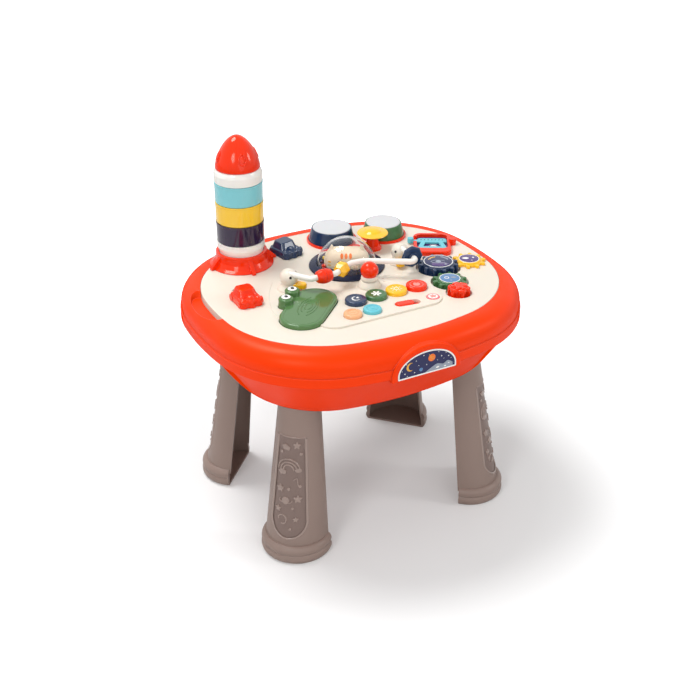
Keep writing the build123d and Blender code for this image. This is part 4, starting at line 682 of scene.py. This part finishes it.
windowSide = np.linspace([border["halfHigh"], border["top"]], [border["halfLow"], border["round"]], 40)
windowPath = np.concatenate([windowSide * [-1, 1],
                             arcPath(border["halfLow"], 180, 360, (0, border["round"]), 70)[1:-1],
                             windowSide[::-1]])
topPath = np.linspace([-18.2, 181.4], [18.2, 181.4], 30)
legReliefs = [stroke(arcPath(radius, -4, 176, (2, 134), 44), 2.4, -0.3, 1.5) for radius in (15.6, 11.6, 7.6)]
legReliefs += [
    slab(cloudOutline(6.4, (11.0, 130.5)), -0.3, 1.5, 1.0),
    slab(cloudOutline(5.0, (-11.6, 135)), -0.3, 1.4, 0.9),
    slab(starOutline(5.8, 5, 0.48, at=(-8.2, 170)), -0.3, 1.4, 0.8),
    slab(cloudOutline(6.6, (6.6, 166), 0.3), -0.3, 1.4, 0.9),
    slab(polar(2.2, 24, 1, 0, (13.2, 158)), -0.3, 1.3, 0.8),
    slab(polar(2.2, 24, 1, 0, (-14.0, 158)), -0.3, 1.3, 0.8),
    slab(polar(2.6, 24, 0.8, 0.4, (-14.4, 112.5)), -0.3, 1.4, 0.9),
    stroke(np.linspace([-12.2, 113], [-10.4, 124], 12), 1.5, -0.3, 1.3),
    stroke(np.linspace([-10.4, 124], [-5.6, 121], 8), 2.0, -0.3, 1.3),
    slab(starOutline(6.0, 5, 0.48, at=(13.2, 106)), -0.3, 1.4, 0.8),
    slab(polar(2.4, 24, 1, 0, (0.6, 107)), -0.3, 1.3, 0.8),
    slab(starOutline(6.2, 5, 0.48, at=(-12.4, 94)), -0.3, 1.4, 0.8),
    slab(polar(5.4, 40, 1, 0, (4.6, 90)), -0.3, 1.5, 1.1),
    stroke(arcPath(9.4, 150, 395, (4.6, 90), 44, 0.34), 1.6, -0.3, 1.4),
    slab(polar(2.0, 24, 1, 0, (-5.8, 80)), -0.3, 1.3, 0.8),
    slab(starOutline(4.8, 5, 0.48, at=(15.4, 76)), -0.3, 1.3, 0.7),
    stroke(arcPath(6.2, -10, 280, (8.6, 62), 36), 2.2, -0.3, 1.4),
    slab(starOutline(4.4, 5, 0.48, at=(-10.6, 64)), -0.3, 1.3, 0.7),
    slab(polar(2.0, 24, 1, 0, (-3.4, 49)), -0.3, 1.3, 0.8),
]
for name, (sideX, sideY) in legSides.items():
    outer, inner = onLeg(sideX, sideY, 0.0), onLeg(sideX, sideY, -leg["sunk"])
    # Border and reliefs take the lighter taupe, a painted highlight on the raised parts
    addPiece("legBorder" + name,
             [stroke(windowPath, border["width"], -0.4, 0.9), stroke(topPath, 2.0, -0.3, 0.6)], outer,
             "taupeGlossWithPaintedHighlight", "table")
    addPiece("legReliefs" + name, legReliefs, inner, "taupeGlossWithPaintedHighlight", "table")
print("legs dressed")

# Rocket: the nose's full round skin, and raised portholes on it
nose = {"at": (-107.1, 122.1), "foot": 470.2, "top": 514.4, "radius": 30.9, "full": 1.45, "blunt": 0.55,
        "skin": 1.0, "portholes": (-98, -8, 82, 172), "portholeHeight": 487, "bend": 24.0}


def noseRadius(height):
    # One minus a power of the height's share, then a root: upright at the foot, blunt at the tip
    share = np.clip((height - nose["foot"]) / (nose["top"] - nose["foot"]), 0, 1)
    return nose["radius"] * (1 - share ** nose["full"]) ** nose["blunt"]


def onNose(heading):
    # u runs round the nose from the heading, v is the height, h stands off along the normal
    def place(p):
        lean = (noseRadius(p[:, 1] - 0.1) - noseRadius(p[:, 1] + 0.1)) / 0.2
        outward = np.stack([np.ones_like(lean), lean], 1) / np.hypot(1, lean)[:, None]
        angle = math.radians(heading) + p[:, 0] / nose["bend"]
        reach = noseRadius(p[:, 1]) + outward[:, 0] * p[:, 2]
        return np.stack([nose["at"][0] + reach * np.cos(angle), nose["at"][1] + reach * np.sin(angle),
                         p[:, 1] + outward[:, 1] * p[:, 2]], 1)
    return place


# Rows crowd towards the tip; the skin is that profile and the same one moved inwards
noseSteps = nose["foot"] + (nose["top"] - nose["foot"]) * np.sin(np.linspace(0, math.pi / 2, 60)) ** 1.2
noseOuter = np.stack([noseRadius(noseSteps), noseSteps], 1)[:-1]
noseInner = noseOuter - [nose["skin"], 0.0]
noseInner = noseInner[noseInner[:, 0] > 1.0] - [0.0, 0.4]
addPiece("noseSkin", [lathe(np.concatenate([noseInner[::-1], noseOuter]), nose["at"])], inSpace,
         "redPlastic", "nose_cone")
for number, heading in enumerate(nose["portholes"]):
    middle = (0, nose["portholeHeight"])
    addPiece(f"nosePorthole{number}", [stroke(polar(4.6, 60, 1.5, 0, middle), 1.6, -0.3, 1.0, True),
                                       slab(polar(2.6, 40, 1.6, 0, middle), -0.3, 0.8, 0.6)],
             onNose(heading), "redPlastic", "nose_cone")

# Joystick: the soft collar that hides the stick's neck
# Its underside is hollow, so the low outer lip clears the boot when the stick leans
collar = {"at": (12.8, -30.0),
          "profile": [(8.6, 340.4), (11.0, 337.4), (11.5, 337.7), (11.7, 338.8), (11.4, 340.8),
                      (10.8, 342.4), (10.2, 342.9), (9.4, 342.9), (8.6, 341.6)]}
collarShell = lathe(collar["profile"], collar["at"])[0]
addPiece("stickCollar", [(collarShell, True)], inSpace, "creamPanel", "joystick")
print("rocket and joystick dressed")

# Buttons: fine printed motifs in the dish of each cap
keyFace = {"height": 333.8, "turn": -28}
wavePath = np.stack([np.linspace(-6, 6, 40), 1.2 * np.sin(np.linspace(0, 2 * tau, 40))], 1)


def sunRay(angle):
    # A short line outwards, each end three points a hair apart
    ends = np.array([[math.cos(angle), math.sin(angle)]]) * [[5.0], [7.6]]
    return stroke(ends.repeat(3, 0) + np.linspace(0, 1e-3, 6)[:, None], 0.9, -0.1, 0.3)


def heart(angle):
    # The radius is fuller at top and bottom than aside, and a narrow bell is taken off at the top
    above = angle - math.pi / 2
    return 5.4 * (0.72 + 0.28 * np.abs(np.cos(above)) ** 0.5 - 0.34 * np.exp(-(above / 0.34) ** 2))


def leaf(angle):
    # A small oval out along its angle
    middle = (4.6 * math.cos(angle), 4.6 * math.sin(angle))
    return slab(polar(2.3, 24, 0.72, angle, middle), -0.1, 0.32, 0.1)


def spokes(count):
    # Angles spread evenly round a circle
    return np.linspace(0, tau, count, endpoint=False)


moonTaper = swelling(0.4, 1.9, 36)
keyMotifs = {
    "button_navy": ((-28.0, -66.0), "whitePrint",
                    [stroke(arcPath(5.2, 100, 330, (0.4, 0), 36), moonTaper, -0.1, 0.35),
                     slab(starOutline(2.3, 5, 0.5, at=(2.4, 2.0)), -0.1, 0.35, 0.1)]),
    "button_green": ((2.9, -66.0), "whitePrint",
                     [slab(polar(2.1, 24), -0.1, 0.4, 0.2)] + [leaf(a) for a in spokes(6)]),
    "button_yellow": ((33.8, -66.0), "whitePrint",
                      [stroke(polar(3.2, 40), 1.0, -0.1, 0.35, True)] + [sunRay(a) for a in spokes(8)]),
    "button_red": ((64.7, -67.0), "pinkPrint",
                   [slab(polar(heart, 80), -0.1, 0.35, 0.1), stroke(polar(9.0, 64), 0.9, -0.1, 0.3, True)]),
    "button_peach": ((-50.7, -99.6), "peachPlastic",
                     [stroke(polar(6.6, 48), 1.2, -0.1, 0.5, True), stroke(wavePath * 0.6, 1.1, -0.1, 0.5)]),
    "button_blue": ((-22.3, -100.2), "bluePlastic",
                    [stroke(polar(6.6, 48), 1.2, -0.1, 0.5, True), slab(cloudOutline(3.6), -0.1, 0.5, 0.3)]),
}
for body, (at, finish, shells) in keyMotifs.items():
    onKey = onLevel(at, keyFace["height"], keyFace["turn"])
    addPiece(body.replace("_", "") + "Motif", shells, onKey, finish, body)

# Gears: printed discs with a white rim
gearTurn = -28
gearDiscs = {
    # place, height, radius, finish of the disc, prints
    "gear_navy": ((125.5, -25.1), 337.1, 20.4, "nightPrint",
                  [("violetPrint", [slab(cloudOutline(12.6, (1.5, -9.5), 0.0, 0.55), 0.0, 0.22, 0.05)]),
                   ("whitePrint", [stroke(polar(19.9, 96), 1.3, -0.1, 0.3, True)]),
                   ("greyPrint", [stroke(arcPath(9.6, 20, 340, (0, -1.5), 60, 0.5), 1.2, 0.1, 0.32),
                                  slab(polar(3.9, 40, 1, 0, (0, -1.5)), 0.1, 0.32, 0.1),
                                  slab(starOutline(2.6, 5, 0.5, at=(9.5, -10)), 0.1, 0.3, 0.1),
                                  slab(starOutline(1.9, 5, 0.5, at=(-11.5, 6.5)), 0.1, 0.3, 0.1),
                                  stroke(arcPath(14.6, 20, 74, (0, 0), 30), 2.6, 0.1, 0.26)]),
                   ("goldPrint", [stroke(arcPath(14.2, 104, 160, (0, 0), 30), 2.6, 0.1, 0.26)])]),
    "gear_green": ((114.938, -71.589), 333.1, 14.2, "skyPrint",
                   [("whitePrint", [stroke(polar(13.8, 80), 1.2, -0.1, 0.3, True),
                                    stroke(polar(2.8, 36, 1, 0, (-4.2, 1.0)), 1.3, 0.1, 0.34, True)]),
                    ("greyPrint", [slab(cloudOutline(4.0, (5.0, 2.0)), 0.1, 0.26, 0.1),
                                   slab(polar(1.5, 24, 1, 0, (1.2, -6.6)), 0.1, 0.26, 0.1)])]),
    "gear_yellow": ((172.819, -30.910), 333.1, 14.0, "violetPrint",
                    [("whitePrint", [stroke(polar(13.7, 80), 1.0, -0.1, 0.3, True),
                                     slab(cloudOutline(4.8, (-5.0, 0.8)), 0.1, 0.3, 0.1),
                                     slab(starOutline(2.1, 5, 0.5, at=(6.0, 3.2)), 0.1, 0.3, 0.1),
                                     slab(starOutline(1.5, 5, 0.5, at=(3.4, -6.0)), 0.1, 0.3, 0.1)])]),
}
for body, (at, height, radius, discFinish, prints) in gearDiscs.items():
    name = body.replace("_", "")
    onGear = onLevel(at, height, gearTurn)
    addPiece(name + "Disc", [slab(polar(radius, 96), -0.15, 0.15, 0.1)], onGear, discFinish, body)
    for number, (finish, shells) in enumerate(prints):
        addPiece(f"{name}Print{number}", shells, onGear, finish, body)

# Flower gear: raised petals round a dimpled middle, and creases between them
flower = {"at": (107.729, -105.504), "height": 336.5, "petalsFrom": 42, "creasesFrom": 12}
onFlower = onLevel(flower["at"], flower["height"])
sixths = np.arange(6) * 60.0
petals = [slab(polar(4.9, 40, 0.66, a, (7.2 * math.cos(a), 7.2 * math.sin(a))), -0.6, 1.7, 2.1)
          for a in np.radians(sixths + flower["petalsFrom"])]
addPiece("flowerPetals", petals + [slab(polar(3.6, 40), -0.6, 1.2, 1.5)], onFlower,
         "redPlastic", "gear_flower")
creases = [stroke(np.outer(np.linspace(7.0, 12.6, 8), (math.cos(a), math.sin(a))), 0.9, -0.2, 0.35)
           for a in np.radians(sixths + flower["creasesFrom"])]
addPiece("flowerCreases", creases, onFlower, "redPlastic", "gear_flower")
print("buttons and gears dressed")

# Lens: a pale field and a pink star on it
lens = {"at": (68.5, -103.0), "height": 330.3, "turn": -20}
onLens = onLevel(lens["at"], lens["height"], lens["turn"])
addPiece("lensField", [slab(polar(6.5, 64), -0.1, 0.15, 0.1)], onLens, "whitePrint", "play_unit")
addPiece("lensStar", [slab(starOutline(5.0, 5, 0.45), 0.1, 0.5, 0.2)], onLens, "pinkPrint", "play_unit")

# Frog: ripples on its back, dark pupils in raised rims, and a line along the key's edge
frog = {"at": (-92.5, -56.0), "turn": 45, "back": 333.5, "eyeTop": 341.7, "eyeRim": 340.5,
        "eyes": [(3.0, 32.0), (28.5, 32.0)], "ripples": (10, 19, 28), "rimRadius": 24.5, "rimApart": 27}


def onFrog(height):
    return onLevel(frog["at"], height, frog["turn"])


addPiece("frogRipples", [stroke(arcPath(radius, start, start + 130, (0, 0), 40, 0.42), 1.5, -0.2, 0.7)
                         for radius in frog["ripples"] for start in (25, 205)],
         onFrog(frog["back"]), "frogPlastic", "frog")
addPiece("frogPupils", [slab(polar(3.3, 36, 0.72, 0.6, (x + 0.4, y - 0.2)), -0.1, 0.35, 0.2)
                        for x, y in frog["eyes"]], onFrog(frog["eyeTop"]), "blackGloss", "frog")
addPiece("frogEyeRims", [stroke(polar(6.6, 48, 1, 0, eye), 0.8, -0.2, 0.9, True) for eye in frog["eyes"]],
         onFrog(frog["eyeRim"]), "frogPlastic", "frog")
keyRim = np.concatenate([arcPath(frog["rimRadius"], -90, 90, (frog["rimApart"], 0), 40),
                         arcPath(frog["rimRadius"], 90, 270, (-frog["rimApart"], 0), 40)])
addPiece("frogKeyRim", [stroke(keyRim, 1.1, -0.2, 0.35, True)], onFrog(frog["back"]),
         "frogPlastic", "frog")

# Duck heads: bead eyes
duck = {"height": 344.0, "radii": (12.0, 13.5, 12.0), "eye": 1.9, "up": 0.36, "sunk": 0.97,
        # place, heading, and how far each eye is from it
        "heads": {"Left": ((-86.0, 15.0), -45, 60), "Right": ((87.0, 15.0), -118, 34)}}
for name, (at, heading, apart) in duck["heads"].items():
    eyes = []
    for side in (-1, 1):
        # Each eye sits where its direction leaves the egg
        angle = math.radians(heading + side * apart)
        look = np.array([math.cos(angle), math.sin(angle), duck["up"]])
        reach = duck["sunk"] / np.linalg.norm(look / duck["radii"])
        eyes.append(ball(np.array([*at, duck["height"]]) + look * reach, (duck["eye"],) * 3))
    addPiece("duckEyes" + name, eyes, inSpace, "blackGloss", "play_unit")

# Cat: stripes, cheeks, eyes, nose and mouth
cat = {"place": (16.5, 41.0), "turn": -28.65, "middle": 330.5, "flat": (17.5, 10.0), "round": 14.0,
       "depth": 3.0, "stripes": (-6.6, -0.7, 5.2), "eyes": (-11, 11)}


def onCat(p):
    # u across and v up the loaf's front: flat in the middle, then a quarter round over each edge
    across = np.sign(p[:, 0]) * np.maximum(np.abs(p[:, 0]) - cat["flat"][0], 0) / cat["round"]
    up = np.maximum(p[:, 1] - cat["flat"][1], 0) / cat["round"]
    reach = cat["round"] + p[:, 2]
    x = np.clip(p[:, 0], -cat["flat"][0], cat["flat"][0]) + reach * np.cos(up) * np.sin(across)
    y = -cat["depth"] - reach * np.cos(up) * np.cos(across)
    z = cat["middle"] + np.minimum(p[:, 1], cat["flat"][1]) + reach * np.sin(up)
    return onLevel(cat["place"], 0, cat["turn"])(np.stack([x, y, z], 1))


addPiece("catStripes", [slab(polar(2.1, 32, 2.0, 0, (x, 18.4)), -0.4, 0.4, 0.3) for x in cat["stripes"]],
         onCat, "orangePrint", "dome")
addPiece("catCheeks", [slab(polar(2.6, 32, 0.5, 0, (x, y)), -0.4, 0.4, 0.3)
                       for x in (-24, 24) for y in (5, 10)], onCat, "goldPrint", "dome")
addPiece("catEyes", [slab(polar(1.7, 32, 1.2, 0, (x, 9)), -0.3, 0.5, 0.3) for x in cat["eyes"]],
         onCat, "blackGloss", "dome")
addPiece("catNose", [slab(polar(1.7, 32, 0.7, 0, (0, 6)), -0.3, 0.8, 0.6)], onCat, "pinkPrint", "dome")
addPiece("catMouth", [stroke(arcPath(2.2, 190, 350, (x, 4.4), 20, 0.8), 0.7, -0.2, 0.4)
                      for x in (-2.2, 2.2)], onCat, "blackGloss", "dome")
print("frog, ducks and cat dressed")

# Slider: the card's motif, and the row of dots on the shutter
slider = {"at": (156.0, 40.0), "turn": -30.0, "card": 329.1, "shutter": 332.5, "dots": 7, "dotsReach": 15.5}
addPiece("cardMoon", [slab(polar(4.6, 40, 1, 0, (2, -3.5)), -0.05, 0.15, 0.05),
                      stroke(polar(6.6, 48, 1, 0, (2, -3.5)), 0.5, -0.05, 0.15, True),
                      slab(starOutline(1.8, 5, 0.5, at=(-11, 20)), -0.05, 0.15, 0.05),
                      slab(cloudOutline(4, (6, 22)), -0.05, 0.15, 0.05)],
         onLevel(slider["at"], slider["card"], slider["turn"]), "whitePrint", "play_unit")
addPiece("shutterDots", [slab(polar(1.0, 24, 1, 0, (x, 11.4)), -0.1, 0.2, 0.1)
                         for x in np.linspace(-slider["dotsReach"], slider["dotsReach"], slider["dots"])],
         onLevel(slider["at"], slider["shutter"], slider["turn"]), "nightPrint", "slider_shutter")

# Play panel: low moulded ridges beside the joystick, and one soft contour line
panel = {
    "top": 327.5, "ridgeWidth": (0.6, 4.4), "ridgeHeight": 1.0, "contourWidth": (0.4, 1.4),
    "ridges": [
        [(45.6, -14.4), (54, -13.6), (62.5, -15.6), (70.5, -19.8)],
        [(39.6, -19.6), (48.6, -21.6), (57.4, -25.8), (65, -31.6)],
        [(35.6, -28.4), (43, -32), (49.6, -37), (54.4, -42.6)],
    ],
    "contour": [(-96, 44), (-113, 20), (-126, -8), (-136, -40), (-134, -68), (-120, -92)],
}
onPanel = onLevel((0, 0), panel["top"])
ridgeWidth = swelling(*panel["ridgeWidth"], 40, 0.7)
addPiece("panelRidges", [stroke(smoothPath(points, 40), ridgeWidth, -0.2, panel["ridgeHeight"])
                         for points in panel["ridges"]], onPanel, "creamPanel", "play_unit")
contourWidth = swelling(*panel["contourWidth"], 90, 0.5)
addPiece("panelContour", [stroke(smoothPath(panel["contour"], 90), contourWidth, -0.2, 0.45)], onPanel,
         "creamPanel", "play_unit")
print("play unit dressed")

# Floor: pale, and it keeps the shadow
ground = {"half": 40.0, "colour": 0.80, "nearAt": 0.28, "farAt": 0.85, "glowNear": 0.14, "glowFar": 0.8}
floorMesh = bpy.data.meshes.new("floor")
corners = [(-1, -1), (1, -1), (1, 1), (-1, 1)]
floorMesh.from_pydata([(x * ground["half"], y * ground["half"], 0) for x, y in corners], [], [(0, 1, 2, 3)])
floor = bpy.data.objects.new("floor", floorMesh)
scene.collection.objects.link(floor)
floorPaint, floorTree, floorShader = newMaterial("floorPaint")
floorShader.inputs["Base Color"].default_value = (ground["colour"],) * 3 + (1,)
floorShader.inputs["Roughness"].default_value = 0.9
floorShader.inputs["Specular IOR Level"].default_value = 0.1
floorShader.inputs["Emission Color"].default_value = (1, 1, 1, 1)
floorRays = floorTree.nodes.new("ShaderNodeLightPath")
# The glow that keeps the ground white grows away from the table; the weaker glow near it is painted shade
# that deepens the shadow
away = floorTree.nodes.new("ShaderNodeVectorMath")
away.operation = "LENGTH"
floorTree.links.new(objectPoint(floorTree), away.inputs[0])
growing = rangeNode(floorTree, away.outputs["Value"], ground["nearAt"], ground["farAt"],
                    ground["glowNear"], ground["glowFar"])
glow = mathNode(floorTree, "MULTIPLY", floorRays.outputs["Is Camera Ray"], growing)
floorTree.links.new(glow, floorShader.inputs["Emission Strength"])
floorMesh.materials.append(floorPaint)
print("studio ready")
